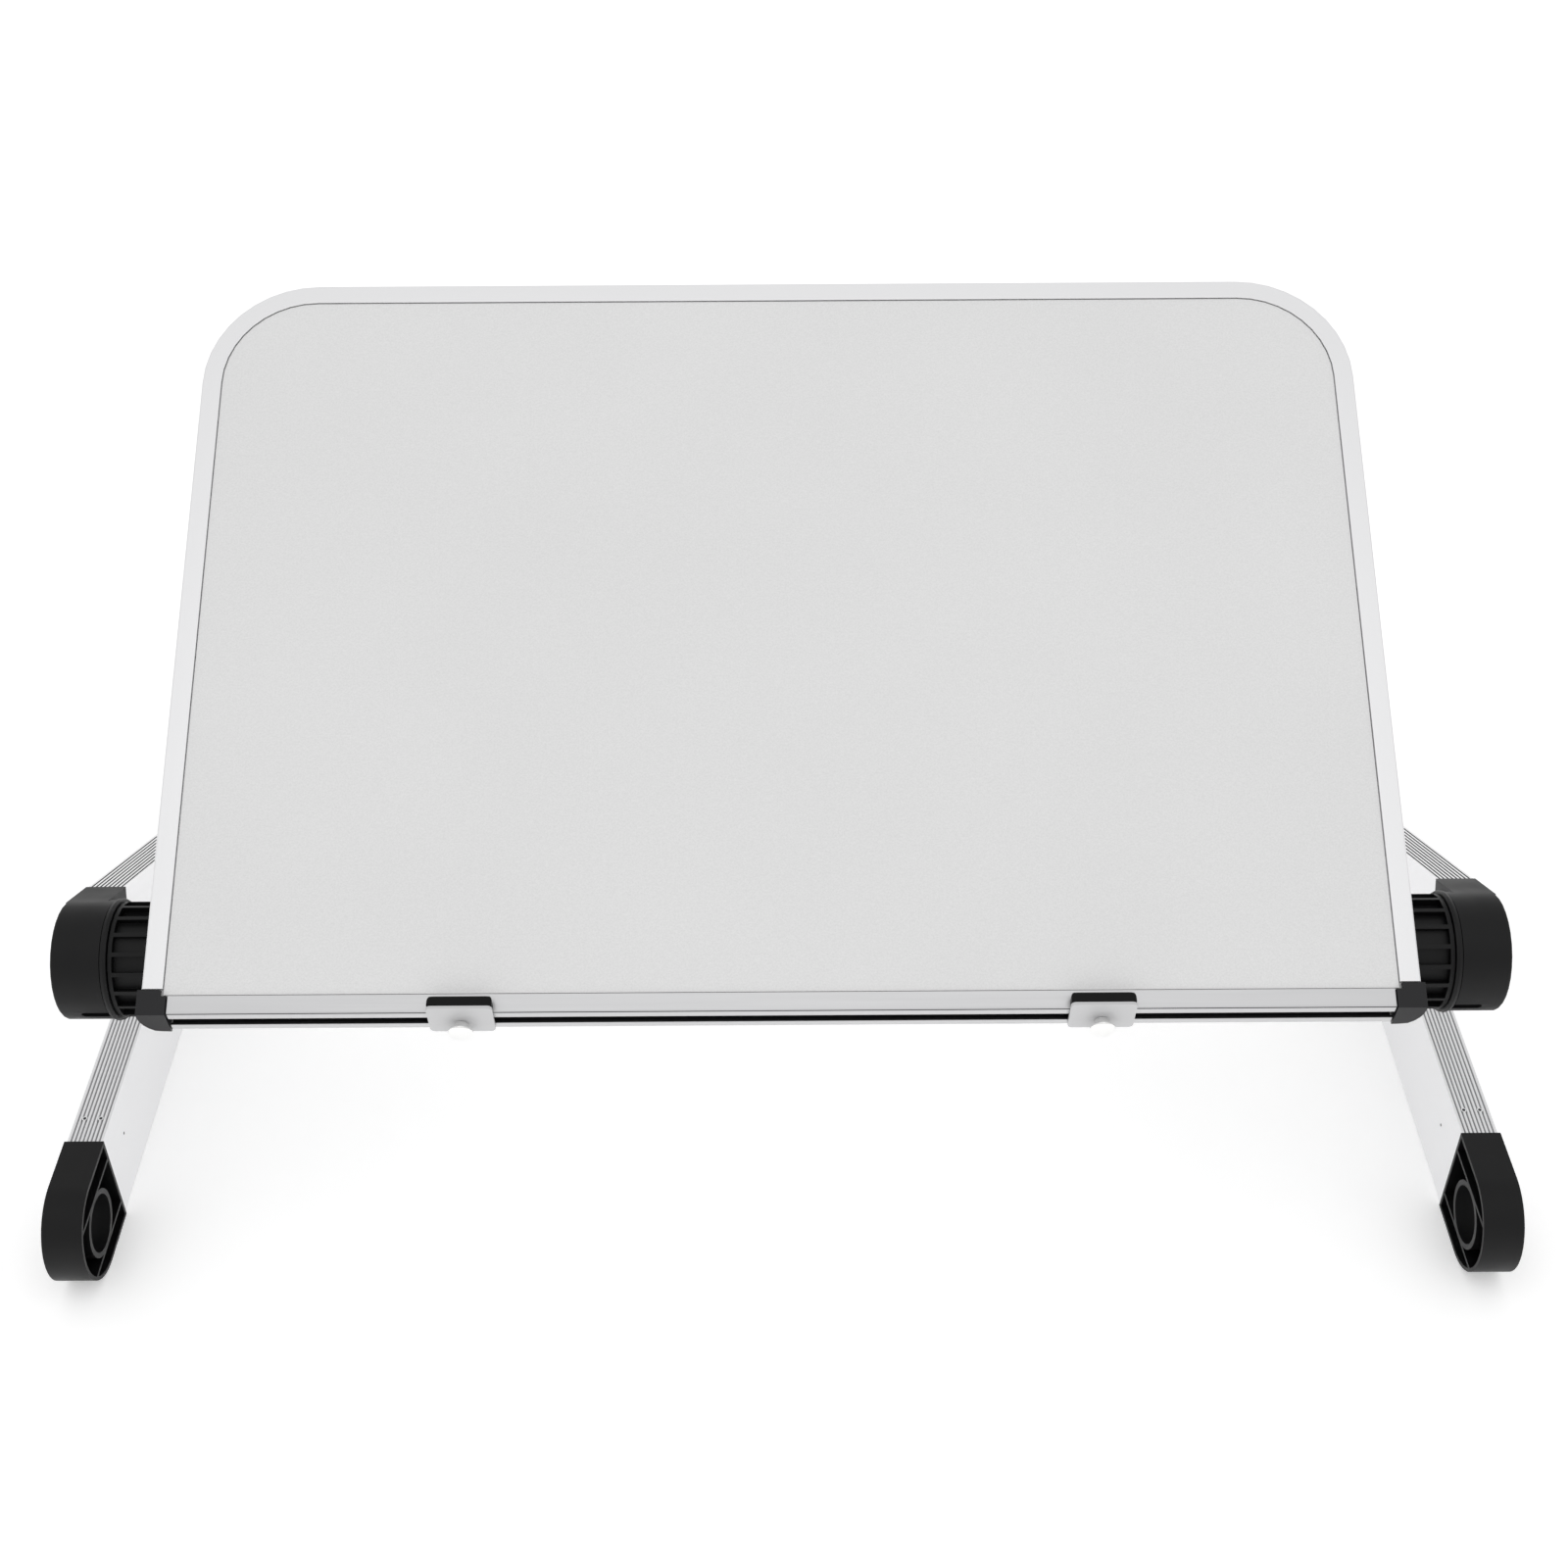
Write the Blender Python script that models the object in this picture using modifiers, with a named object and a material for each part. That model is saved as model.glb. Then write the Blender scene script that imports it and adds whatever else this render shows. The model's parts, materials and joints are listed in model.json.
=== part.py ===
"""Portable drawing board on two folding Z-shaped legs.

A laminated panel sits in a bent aluminium edge rail and a grooved front rail. Each side has a leg of two
aluminium sections. The upper section turns on a hub under the board, the lower one on a second hub at the
floor. Every hub locks with a toothed gear that a push button slides out of mesh against a spring.

World axes: +X right, +Y away from the person at the board, +Z up. The origin is on the floor, under the
centre of the whole object. Units are metres.
"""
import math

import bmesh
import bpy
from mathutils import Matrix, Vector

# Driving dimensions
BOARD_WIDTH = 0.420
BOARD_DEPTH = 0.275
BOARD_THICKNESS = 0.010
BOARD_TILT = math.radians(31.8)
CORNER_RADIUS = 0.040
UPPER_LEG_PITCH = 0.2300       # upper hub to floor hub, centre to centre
LOWER_LEG_PITCH = 0.2355       # floor hub to the foot's bore
UPPER_SLOPE = math.radians(27.0)
FOOT_RADIUS = 0.0206           # round end of the foot cap and of the floor hub
HUB_FROM_FRONT = 0.0274        # upper hub's axis, measured up the board from its front edge
HUB_BELOW_TOP = 0.0345         # and square to the board, below its upper surface

# Edge and front rails
GAP = 0.0003                   # between pieces that touch
LIP_WIDTH = 0.0070
FRONT_LIP_WIDTH = 0.0061
LIP_THICKNESS = 0.0012
PANEL_BELOW_RAIL = 0.0006
LOWER_LIP_THICKNESS = 0.0014
RAIL_WEB = 0.0028
RAIL_ROUND = 0.0050            # lower outer edge of the side rail
CORNER_STEPS = 10
FRONT_FACE_LEAN = math.radians(19.0)
FRONT_FACE_HEIGHT = 0.0093
GROOVE_TOP = 0.0033            # along the slanted front face
GROOVE_WIDTH = 0.0036
CAVITY_WIDTH = 0.0062
GROOVE_LIP = 0.0011
CAVITY_DEPTH = 0.0031
CAP_WIDTH = 0.0096
CAP_DEPTH = 0.0080
CAP_STANDS_OUT = 0.0011
CAP_STEP = 0.0021
CAP_CORNER_RADIUS = 0.0088

# Leg sections
UPPER_LEG_X = (0.2331, 0.2463)
LOWER_LEG_X = (0.2512, 0.2644)
PROFILE_HEIGHT = 0.0404
PROFILE_SIDE_WALL = 0.0013
PROFILE_EDGE_WALL = 0.0023
GROOVE_COUNT = 8
GROOVE_PITCH = 0.0015
GROOVE_DEPTH = 0.0004
COLLAR_LENGTH = 0.0213         # from a hub's axis to the end of the aluminium profile
COLLAR_PROUD = 0.0002          # of the profile's narrow faces; twice that on its sides
TONGUE_LENGTH = 0.024

# Hubs: distances along the axis are measured outwards from the face where the outer drum starts
UPPER_HUB_FACE = 0.2301
UPPER_DRUM_WIDTH = 0.0167
LOWER_HUB_FACE = 0.2506
LOWER_DRUM_WIDTH = 0.0150
DRUM_RADIUS = 0.0206
DRUM_ROUND = 0.0011            # of the outer drum's rim
FLANGE_RADIUS = 0.0212
FLANGE_WIDTH = 0.0024
RIBBED_RADIUS = 0.0200
RIBBED_CORE_RADIUS = 0.0174
RIB_COUNT = 18
RIB_POCKET_WIDTH = 0.0054
DRUM_STEPS = 32
SMALL_STEPS = 16
RECESS_RADIUS = 0.0145
RECESS_DEPTH = 0.0066
WEB_THICKNESS = 0.0018
WELL_RADIUS = 0.0099
BOLT_RADIUS = 0.0034
BOLT_HOLE_RADIUS = 0.0037
BOLT_HEAD_RADIUS = 0.0056
BOLT_HEAD_THICKNESS = 0.0018
NUT_RADIUS = 0.0057
NUT_THICKNESS = 0.0022
GEAR_TEETH = 12
GEAR_TIP_RADIUS = 0.0138
GEAR_ROOT_RADIUS = 0.0120
GEAR_INNER_END = -0.0086
GEAR_OUTER_END = 0.0063
GEAR_BORE_RADIUS = 0.0041
BUTTON_TRAVEL = 0.0030
BUTTON_RADIUS = 0.0095
BUTTON_PIN_CIRCLE = 0.0078
BUTTON_PIN_RADIUS = 0.0010
POCKET_FLOOR = GEAR_INNER_END - BUTTON_TRAVEL - 0.0005
SPRING_POCKET_FLOOR = -0.0010
SPRING_POCKET_RADIUS = 0.0072
SPRING_RADIUS = 0.0056
SPRING_WIRE = 0.00045
SPRING_TURNS = 3
SPRING_POINTS_A_TURN = 8

# Brackets under the board
BRACKET_X = (0.1600, 0.1995)
SADDLE_X = 0.1840
BRACKET_PLATE = 0.0040
BRACKET_TOP = HUB_BELOW_TOP - BOARD_THICKNESS + LOWER_LIP_THICKNESS
BRACKET_BOLT_END = SADDLE_X + 0.0005
RIBBED_END = UPPER_HUB_FACE - FLANGE_WIDTH - GAP

# Stops on the front rail
STOP_OFFSET = 0.1050
STOP_WIDTH = 0.0216
STOP_PLATE_THICKNESS = 0.0011
STOP_PLATE_BELOW = 0.0045      # below the screw's axis
STOP_PLATE_ABOVE = 0.0096      # above the screw's axis
STOP_SCREW_FROM_TOP = GROOVE_TOP + GROOVE_WIDTH / 2
PAD_THICKNESS = 0.0038

# Places that follow from the driving dimensions
REAR_HUB_Y = LOWER_LEG_PITCH / 2
FLOOR_HUB_Z = FOOT_RADIUS
UPPER_HUB_Y = REAR_HUB_Y - UPPER_LEG_PITCH * math.cos(UPPER_SLOPE)
UPPER_HUB_Z = FLOOR_HUB_Z + UPPER_LEG_PITCH * math.sin(UPPER_SLOPE)
HALF_WIDTH = BOARD_WIDTH / 2
BOARD_ALONG = Vector((0.0, math.cos(BOARD_TILT), math.sin(BOARD_TILT)))
BOARD_NORMAL = Vector((0.0, -math.sin(BOARD_TILT), math.cos(BOARD_TILT)))
BOARD_FRONT = (Vector((0.0, UPPER_HUB_Y, UPPER_HUB_Z))
               - HUB_FROM_FRONT * BOARD_ALONG + HUB_BELOW_TOP * BOARD_NORMAL)

SIDES = (("left", -1), ("right", 1))


def new_collection(name):
    """A collection under the scene's own."""
    collection = bpy.data.collections.new(name)
    bpy.context.scene.collection.children.link(collection)
    return collection


def new_material(name, colour, roughness, metallic):
    """A Principled material."""
    material = bpy.data.materials.new(name)
    material.use_nodes = True
    shader = material.node_tree.nodes["Principled BSDF"]
    shader.inputs["Base Color"].default_value = (*colour, 1.0)
    shader.inputs["Roughness"].default_value = roughness
    shader.inputs["Metallic"].default_value = metallic
    return material


def new_empty(name, parent, location, turn=0.0):
    """An empty that carries a group of pieces, turned about X."""
    empty = bpy.data.objects.new(name, None)
    empty.parent = parent
    empty.location = location
    empty.rotation_euler = (turn, 0.0, 0.0)
    PARTS.objects.link(empty)
    return empty


def new_piece(name, mesh, parent, material):
    """A named sub-part."""
    piece = bpy.data.objects.new(name, mesh)
    piece.parent = parent
    piece.data.materials.append(material)
    PARTS.objects.link(piece)
    return piece


def new_cutter(name, mesh, parent):
    """A shape that only cuts or joins others."""
    cutter = bpy.data.objects.new(name, mesh)
    cutter.parent = parent
    cutter.hide_render = True
    cutter.display_type = "WIRE"
    CUTTERS.objects.link(cutter)
    return cutter


def combine(piece, other, operation="DIFFERENCE"):
    """Cut other from the piece, or join it."""
    modifier = piece.modifiers.new(operation.lower(), "BOOLEAN")
    modifier.operation = operation
    modifier.object = other
    modifier.solver = "EXACT"
    return piece


def bmesh_to_mesh(name, shape):
    """Finish a bmesh with sharp edges at the corners and smooth round faces."""
    mesh = bpy.data.meshes.new(name)
    bmesh.ops.recalc_face_normals(shape, faces=shape.faces)
    shape.to_mesh(mesh)
    shape.free()
    mesh.shade_smooth()
    mesh.set_sharp_from_angle(angle=math.radians(35.0))
    return mesh


def box_mesh(name, x_range, y_range, z_range):
    """A box between two corners."""
    centre = Vector(((x_range[0] + x_range[1]) / 2, (y_range[0] + y_range[1]) / 2, (z_range[0] + z_range[1]) / 2))
    size = (abs(x_range[1] - x_range[0]), abs(y_range[1] - y_range[0]), abs(z_range[1] - z_range[0]))
    shape = bmesh.new()
    bmesh.ops.create_cube(shape, size=1.0, matrix=Matrix.Translation(centre) @ Matrix.Diagonal((*size, 1.0)))
    return bmesh_to_mesh(name, shape)


def add_rod(shape, radius, x_range, y=0.0, z=0.0, segments=SMALL_STEPS):
    """A cylinder along X, added to a bmesh."""
    place = Matrix.Translation(((x_range[0] + x_range[1]) / 2, y, z)) @ Matrix.Rotation(math.pi / 2, 4, "Y")
    bmesh.ops.create_cone(shape, cap_ends=True, segments=segments, radius1=radius, radius2=radius,
                          depth=abs(x_range[1] - x_range[0]), matrix=place)


def rod_mesh(name, radius, x_range, y=0.0, z=0.0, segments=SMALL_STEPS):
    """A cylinder along X."""
    shape = bmesh.new()
    add_rod(shape, radius, x_range, y, z, segments)
    return bmesh_to_mesh(name, shape)


def outline_mesh(name, loops, low, high, axis="X"):
    """A flat outline with its holes, filled and made thick along X (outline in Y, Z) or Z (in X, Y)."""
    curve = bpy.data.curves.new(name, "CURVE")
    curve.dimensions = "2D"
    curve.fill_mode = "BOTH"
    curve.extrude = abs(high - low) / 2
    for loop in loops:
        spline = curve.splines.new("POLY")
        spline.points.add(len(loop) - 1)
        for point, (u, v) in zip(spline.points, loop):
            point.co = (u, v, 0.0, 1.0)
        spline.use_cyclic_u = True
    holder = bpy.data.objects.new(name, curve)
    bpy.context.scene.collection.objects.link(holder)
    evaluated = holder.evaluated_get(bpy.context.evaluated_depsgraph_get())
    flat = bpy.data.meshes.new_from_object(evaluated)
    shape = bmesh.new()
    shape.from_mesh(flat)
    bmesh.ops.remove_doubles(shape, verts=shape.verts, dist=0.00001)
    if axis == "X":
        turn = Matrix(((0, 0, 1, 0), (1, 0, 0, 0), (0, 1, 0, 0), (0, 0, 0, 1)))
        place = Matrix.Translation(((low + high) / 2, 0.0, 0.0)) @ turn
    else:
        place = Matrix.Translation((0.0, 0.0, (low + high) / 2))
    bmesh.ops.transform(shape, matrix=place, verts=shape.verts)
    bpy.data.objects.remove(holder)
    bpy.data.meshes.remove(flat)
    return bmesh_to_mesh(name, shape)


def arc(radius, start, end, steps, centre=(0.0, 0.0)):
    """Points on an arc, ends included, angles in degrees."""
    points = []
    for step in range(steps + 1):
        angle = math.radians(start + (end - start) * step / steps)
        points.append((centre[0] + radius * math.cos(angle), centre[1] + radius * math.sin(angle)))
    return points


def circle(radius, steps=SMALL_STEPS, centre=(0.0, 0.0)):
    """Points once round a circle."""
    return arc(radius, 0.0, 360.0, steps, centre)[:-1]


def turned(piece, side, x_start, steps=SMALL_STEPS):
    """Turn a piece's profile about its own Z and lay that axis outwards along X, from x_start."""
    screw = piece.modifiers.new("turning", "SCREW")
    screw.axis = "Z"
    screw.steps = steps
    screw.render_steps = steps
    screw.use_merge_vertices = True
    screw.merge_threshold = 0.00001
    screw.use_smooth_shade = False
    piece.location = (side * x_start, 0.0, 0.0)
    piece.rotation_euler = (0.0, side * math.pi / 2, 0.0)
    return piece


def profile_mesh(name, points, closed):
    """The line that a turned piece is spun from: radius, then height along the axis."""
    mesh = bpy.data.meshes.new(name)
    edges = [(index, index + 1) for index in range(len(points) - 1)]
    if closed:
        edges.append((len(points) - 1, 0))
    mesh.from_pydata([(radius, 0.0, height) for radius, height in points], edges, [])
    return mesh


def toothed_loop(root_radius, tip_radius, teeth, width_share):
    """A ring of straight-sided teeth, width_share of the pitch wide."""
    points = []
    for tooth in range(teeth):
        middle = 2 * math.pi * tooth / teeth
        half = math.pi / teeth * width_share
        gap_half = math.pi / teeth * (1.0 - width_share)
        for radius, angle in ((tip_radius, middle - half), (tip_radius, middle + half),
                              (root_radius, middle + half + 0.25 * gap_half),
                              (root_radius, middle + 2 * math.pi / teeth - half - 0.25 * gap_half)):
            points.append((radius * math.cos(angle), radius * math.sin(angle)))
    return points


def hub_loop(radius, length, steps=20):
    """A round hub end with straight flanks that run to length, away from the round."""
    return arc(radius, 90.0, 270.0, steps) + [(length, -radius), (length, radius)]


# The board

def plan_loop(inset, front, steps=CORNER_STEPS):
    """The board's outline in its own plane, with the two far corners rounded."""
    half = HALF_WIDTH - inset
    radius = CORNER_RADIUS - inset
    corner_y = BOARD_DEPTH - CORNER_RADIUS
    corner_x = HALF_WIDTH - CORNER_RADIUS
    right = arc(radius, 0.0, 90.0, steps, (corner_x, corner_y))
    left = arc(radius, 90.0, 180.0, steps, (-corner_x, corner_y))
    return [(half, front)] + right + left + [(-half, front)]


def board_panel(frame):
    """The laminated panel with pilot holes for the bracket screws. Its rebated edge sits in the rails' channels."""
    mesh = outline_mesh("board_panel", [plan_loop(RAIL_WEB + GAP, 0.0049)],
                        -BOARD_THICKNESS + LOWER_LIP_THICKNESS + GAP, -LIP_THICKNESS - GAP, "Z")
    panel = new_piece("board_panel", mesh, frame, LAMINATE)
    shown = plan_loop(LIP_WIDTH + GAP, FRONT_LIP_WIDTH + GAP)
    raised = outline_mesh("raised_face", [shown], -BOARD_THICKNESS / 2, -PANEL_BELOW_RAIL, "Z")
    combine(panel, new_cutter("raised_face", raised, frame), "UNION")
    holes = bmesh.new()
    for _, side in SIDES:
        for x, y in bracket_screw_places(side):
            bmesh.ops.create_cone(holes, cap_ends=True, segments=12, radius1=0.0016, radius2=0.0016, depth=0.012,
                                  matrix=Matrix.Translation((x, y, -0.0100)))
    combine(panel, new_cutter("pilot_holes", bmesh_to_mesh("pilot_holes", holes), frame))


def rail_section():
    """The side rail's section: distance in from the outer edge, then height."""
    lower = -BOARD_THICKNESS + LOWER_LIP_THICKNESS
    rounded = arc(RAIL_ROUND, 270.0, 180.0, 4, (RAIL_ROUND, -BOARD_THICKNESS + RAIL_ROUND))
    return [(0.0004, 0.0), (LIP_WIDTH, 0.0), (LIP_WIDTH, -LIP_THICKNESS), (RAIL_WEB, -LIP_THICKNESS),
            (RAIL_WEB, lower), (LIP_WIDTH, lower), (LIP_WIDTH, -BOARD_THICKNESS)] + rounded + [(0.0, -0.0004)]


def edge_frame(frame):
    """One U-shaped rail, run up the left side, bent round both far corners and back down the right side."""
    front = CAP_DEPTH + GAP
    corner_y = BOARD_DEPTH - CORNER_RADIUS
    corner_x = HALF_WIDTH - CORNER_RADIUS
    shape = bmesh.new()
    ring = [shape.verts.new((-HALF_WIDTH + inward, front, height)) for inward, height in rail_section()]
    edges = [shape.edges.new((ring[index], ring[(index + 1) % len(ring)])) for index in range(len(ring))]

    def straight(edges, offset):
        made = bmesh.ops.extrude_edge_only(shape, edges=edges)["geom"]
        points = [item for item in made if isinstance(item, bmesh.types.BMVert)]
        bmesh.ops.translate(shape, vec=offset, verts=points)
        return [item for item in made if isinstance(item, bmesh.types.BMEdge)]

    def bend(edges, x):
        made = bmesh.ops.spin(shape, geom=edges, cent=(x, corner_y, 0.0), axis=(0.0, 0.0, -1.0),
                              angle=math.pi / 2, steps=CORNER_STEPS)["geom_last"]
        return [item for item in made if isinstance(item, bmesh.types.BMEdge)]

    edges = straight(edges, (0.0, corner_y - front, 0.0))
    edges = bend(edges, -corner_x)
    edges = straight(edges, (2 * corner_x, 0.0, 0.0))
    edges = bend(edges, corner_x)
    straight(edges, (0.0, front - corner_y, 0.0))
    bmesh.ops.remove_doubles(shape, verts=shape.verts, dist=0.00001)
    bmesh.ops.holes_fill(shape, edges=shape.edges)
    new_piece("edge_frame", bmesh_to_mesh("edge_frame", shape), frame, ALUMINIUM)


def on_front_face(along, inward):
    """A point of the front rail's section: along its slanted face from the top edge, then into the rail."""
    down = Vector((-math.sin(FRONT_FACE_LEAN), -math.cos(FRONT_FACE_LEAN)))
    into = Vector((math.cos(FRONT_FACE_LEAN), -math.sin(FRONT_FACE_LEAN)))
    point = along * down + inward * into
    return (point.x, point.y)


def front_rail(frame):
    """The front rail: a channel for the panel behind, and a slanted face with a T-shaped groove in front."""
    lower = -BOARD_THICKNESS + LOWER_LIP_THICKNESS
    cavity_top = GROOVE_TOP + GROOVE_WIDTH / 2 - CAVITY_WIDTH / 2
    cavity_bottom = cavity_top + CAVITY_WIDTH
    cavity_back = GROOVE_LIP + CAVITY_DEPTH
    groove = [on_front_face(GROOVE_TOP, 0.0), on_front_face(GROOVE_TOP, GROOVE_LIP),
              on_front_face(cavity_top, GROOVE_LIP), on_front_face(cavity_top, cavity_back),
              on_front_face(cavity_bottom, cavity_back), on_front_face(cavity_bottom, GROOVE_LIP),
              on_front_face(GROOVE_TOP + GROOVE_WIDTH, GROOVE_LIP), on_front_face(GROOVE_TOP + GROOVE_WIDTH, 0.0)]
    loop = ([(FRONT_LIP_WIDTH, 0.0), (0.0003, 0.0), on_front_face(0.0003, 0.0)] + groove
            + [on_front_face(FRONT_FACE_HEIGHT, 0.0), (-0.0019, -BOARD_THICKNESS), (0.0070, -BOARD_THICKNESS),
               (0.0070, lower), (0.0046, lower), (0.0046, -LIP_THICKNESS), (FRONT_LIP_WIDTH, -LIP_THICKNESS)])
    half = HALF_WIDTH + CAP_STANDS_OUT - CAP_WIDTH - GAP
    new_piece("front_rail", outline_mesh("front_rail", [loop], -half, half), frame, ALUMINIUM)


def corner_cap(name, side, frame):
    """A plastic cap that closes the ends of the front rail and the side rail at one near corner."""
    outer = HALF_WIDTH + CAP_STANDS_OUT
    inner = outer - CAP_WIDTH
    front = on_front_face(FRONT_FACE_HEIGHT, 0.0)[0] - 0.0006
    plan = [(side * outer, CAP_DEPTH), (side * (inner + CAP_STEP), CAP_DEPTH),
            (side * (inner + CAP_STEP), CAP_DEPTH - CAP_STEP), (side * inner, CAP_DEPTH - CAP_STEP),
            (side * inner, front), (side * outer, front)]
    cap = new_piece(name, outline_mesh(name, [plan], -BOARD_THICKNESS, 0.0006, "Z"), frame, CAP_PLASTIC)
    slot = box_mesh(name + "_slot", (0.0, side * (HALF_WIDTH - RAIL_WEB)), (0.0046, 0.0200),
                    (-BOARD_THICKNESS + LOWER_LIP_THICKNESS, -LIP_THICKNESS))
    combine(cap, new_cutter(name + "_slot", slot, frame))
    reach = 0.0300
    lean = [(-0.0006, 0.0020), on_front_face(0.0, -0.0006), on_front_face(0.0150, -0.0006), (-reach, -0.0150),
            (-reach, 0.0020)]
    lean_mesh = outline_mesh(name + "_lean", [lean], side * (inner - 0.0010), side * (outer + 0.0010))
    combine(cap, new_cutter(name + "_lean", lean_mesh, frame))
    radius = CAP_CORNER_RADIUS
    centre_x = outer - radius
    centre_z = -BOARD_THICKNESS + radius
    corner = [(side * x, z) for x, z in arc(radius, 0.0, -90.0, 6, (centre_x, centre_z))]
    corner += [(side * (outer + 0.0020), centre_z - radius - 0.0020), (side * (outer + 0.0020), centre_z)]
    shape_mesh = outline_mesh(name + "_round", [corner], -0.0200, 0.0300, "Z")
    stand_up = Matrix.Rotation(math.pi / 2, 4, "X")
    shape_mesh.transform(stand_up)
    combine(cap, new_cutter(name + "_round", shape_mesh, frame))


# The hubs

def toothed_pocket(name, side, face, opening, frame):
    """The toothed pocket that the lock gear slides in, open towards the outer drum."""
    clearance = GAP
    loop = toothed_loop(GEAR_ROOT_RADIUS + clearance, GEAR_TIP_RADIUS + clearance, GEAR_TEETH, 0.5)
    mesh = outline_mesh(name, [loop], side * (face + POCKET_FLOOR), side * opening)
    return new_cutter(name, mesh, frame)


def nut_seat(name, side, open_face, nut_start, frame):
    """The hexagon pocket that keeps a nut from turning, open at the inner face."""
    mesh = outline_mesh(name, [circle(NUT_RADIUS + 1.3 * GAP, 6)], side * (open_face - 0.0020),
                        side * (nut_start + NUT_THICKNESS + GAP))
    return new_cutter(name, mesh, frame)


def drum_profile(width):
    """The outer drum as a solid: a plain inner rim and a rounded outer one."""
    rounded = arc(DRUM_ROUND, 90.0, 0.0, 3, (DRUM_RADIUS - DRUM_ROUND, width - DRUM_ROUND))
    return [(0.0, width)] + rounded + [(DRUM_RADIUS, 0.0), (0.0, 0.0)]


def drum_core_profile(width):
    """What is hollow in an outer drum: the gear's recess, the bolt's hole and the button's well."""
    over = 0.0010
    web_top = RECESS_DEPTH + WEB_THICKNESS
    return [(0.0, width + over), (WELL_RADIUS, width + over), (WELL_RADIUS, web_top), (BOLT_HOLE_RADIUS, web_top),
            (BOLT_HOLE_RADIUS, RECESS_DEPTH), (RECESS_RADIUS, RECESS_DEPTH), (RECESS_RADIUS, -over), (0.0, -over)]


def button_pin_places():
    """Where the button's three pins pass the drum's web."""
    places = []
    for index in range(3):
        angle = math.radians(90.0 + 120.0 * index)
        places.append((BUTTON_PIN_CIRCLE * math.cos(angle), BUTTON_PIN_CIRCLE * math.sin(angle)))
    return places


def drum_fitting(name, side, face, drum_width, leg_x, frame):
    """The smooth drum with its collar and the tongue that the aluminium section is pressed on.

    The hub's axis is the frame's X axis and the leg runs along the frame's +Y.
    """
    collar_x = (leg_x[0] - 2 * COLLAR_PROUD, leg_x[1] + 2 * COLLAR_PROUD)
    half_tongue = PROFILE_HEIGHT / 2 - PROFILE_EDGE_WALL - GAP
    half_collar = PROFILE_HEIGHT / 2 + COLLAR_PROUD
    collar_z = (-half_collar, half_collar)
    collar = box_mesh(name, (side * collar_x[0], side * collar_x[1]), (0.0, COLLAR_LENGTH), collar_z)
    body = new_piece(name, collar, frame, HUB_PLASTIC)
    tongue = box_mesh(name + "_tongue",
                      (side * (leg_x[0] + PROFILE_SIDE_WALL + GAP), side * (leg_x[1] - PROFILE_SIDE_WALL - GAP)),
                      (RECESS_RADIUS + 0.0010, COLLAR_LENGTH + TONGUE_LENGTH), (-half_tongue, half_tongue))
    combine(body, new_cutter(name + "_tongue", tongue, frame), "UNION")
    drum = new_cutter(name + "_drum", profile_mesh(name + "_drum", drum_profile(drum_width), False), frame)
    combine(body, turned(drum, side, face, DRUM_STEPS), "UNION")
    core = new_cutter(name + "_core", profile_mesh(name + "_core", drum_core_profile(drum_width), False), frame)
    combine(body, turned(core, side, face))
    holes = bmesh.new()
    for y, z in button_pin_places():
        add_rod(holes, BUTTON_PIN_RADIUS + GAP, (side * (face + 0.004), side * (face + 0.0095)), y, z, 10)
    combine(body, new_cutter(name + "_pin_holes", bmesh_to_mesh(name + "_pin_holes", holes), frame))
    return body


def rim_slot(piece, side, frame):
    """The long round-ended recess in the outer drum's rim, low on its front."""
    angle = math.radians(203.5) + UPPER_SLOPE
    half_width = 0.0017
    start = UPPER_HUB_FACE - 0.0010
    end = UPPER_HUB_FACE + 0.0080
    loop = [(side * start, -half_width)]
    loop += [(side * x, y) for x, y in arc(half_width, -90.0, 90.0, 6, (end, 0.0))]
    loop += [(side * start, half_width)]
    mesh = outline_mesh(piece.name + "_slot", [loop], DRUM_RADIUS - 0.0011, DRUM_RADIUS + 0.0020, "Z")
    mesh.transform(Matrix.Rotation(angle - math.pi / 2, 4, "X"))
    combine(piece, new_cutter(piece.name + "_slot", mesh, frame))


def lock_gear(name, side, face, frame):
    """The sliding gear, with a pocket for the spring in its inner end."""
    loops = [toothed_loop(GEAR_ROOT_RADIUS, GEAR_TIP_RADIUS, GEAR_TEETH, 0.44), circle(GEAR_BORE_RADIUS, 16)]
    mesh = outline_mesh(name, loops, side * (face + GEAR_INNER_END), side * (face + GEAR_OUTER_END))
    gear = new_piece(name, mesh, frame, ZINC)
    pocket = rod_mesh(name + "_pocket", SPRING_POCKET_RADIUS,
                      (side * (face + GEAR_INNER_END - 0.001), side * (face + SPRING_POCKET_FLOOR)), segments=20)
    combine(gear, new_cutter(name + "_pocket", pocket, frame))


def lock_spring(name, side, face, frame):
    """The coil spring round the bolt, between the pocket's floor and the gear."""
    start = POCKET_FLOOR + GAP + SPRING_WIRE
    end = SPRING_POCKET_FLOOR - GAP - SPRING_WIRE
    count = SPRING_TURNS * SPRING_POINTS_A_TURN
    curve = bpy.data.curves.new(name, "CURVE")
    curve.dimensions = "3D"
    curve.bevel_depth = SPRING_WIRE
    curve.bevel_resolution = 1
    curve.use_fill_caps = True
    spline = curve.splines.new("POLY")
    spline.points.add(count)
    for index, point in enumerate(spline.points):
        angle = 2 * math.pi * index / SPRING_POINTS_A_TURN
        along = face + start + (end - start) * index / count
        point.co = (side * along, SPRING_RADIUS * math.cos(angle), SPRING_RADIUS * math.sin(angle), 1.0)
    new_piece(name, curve, frame, SPRING_STEEL)


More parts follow.
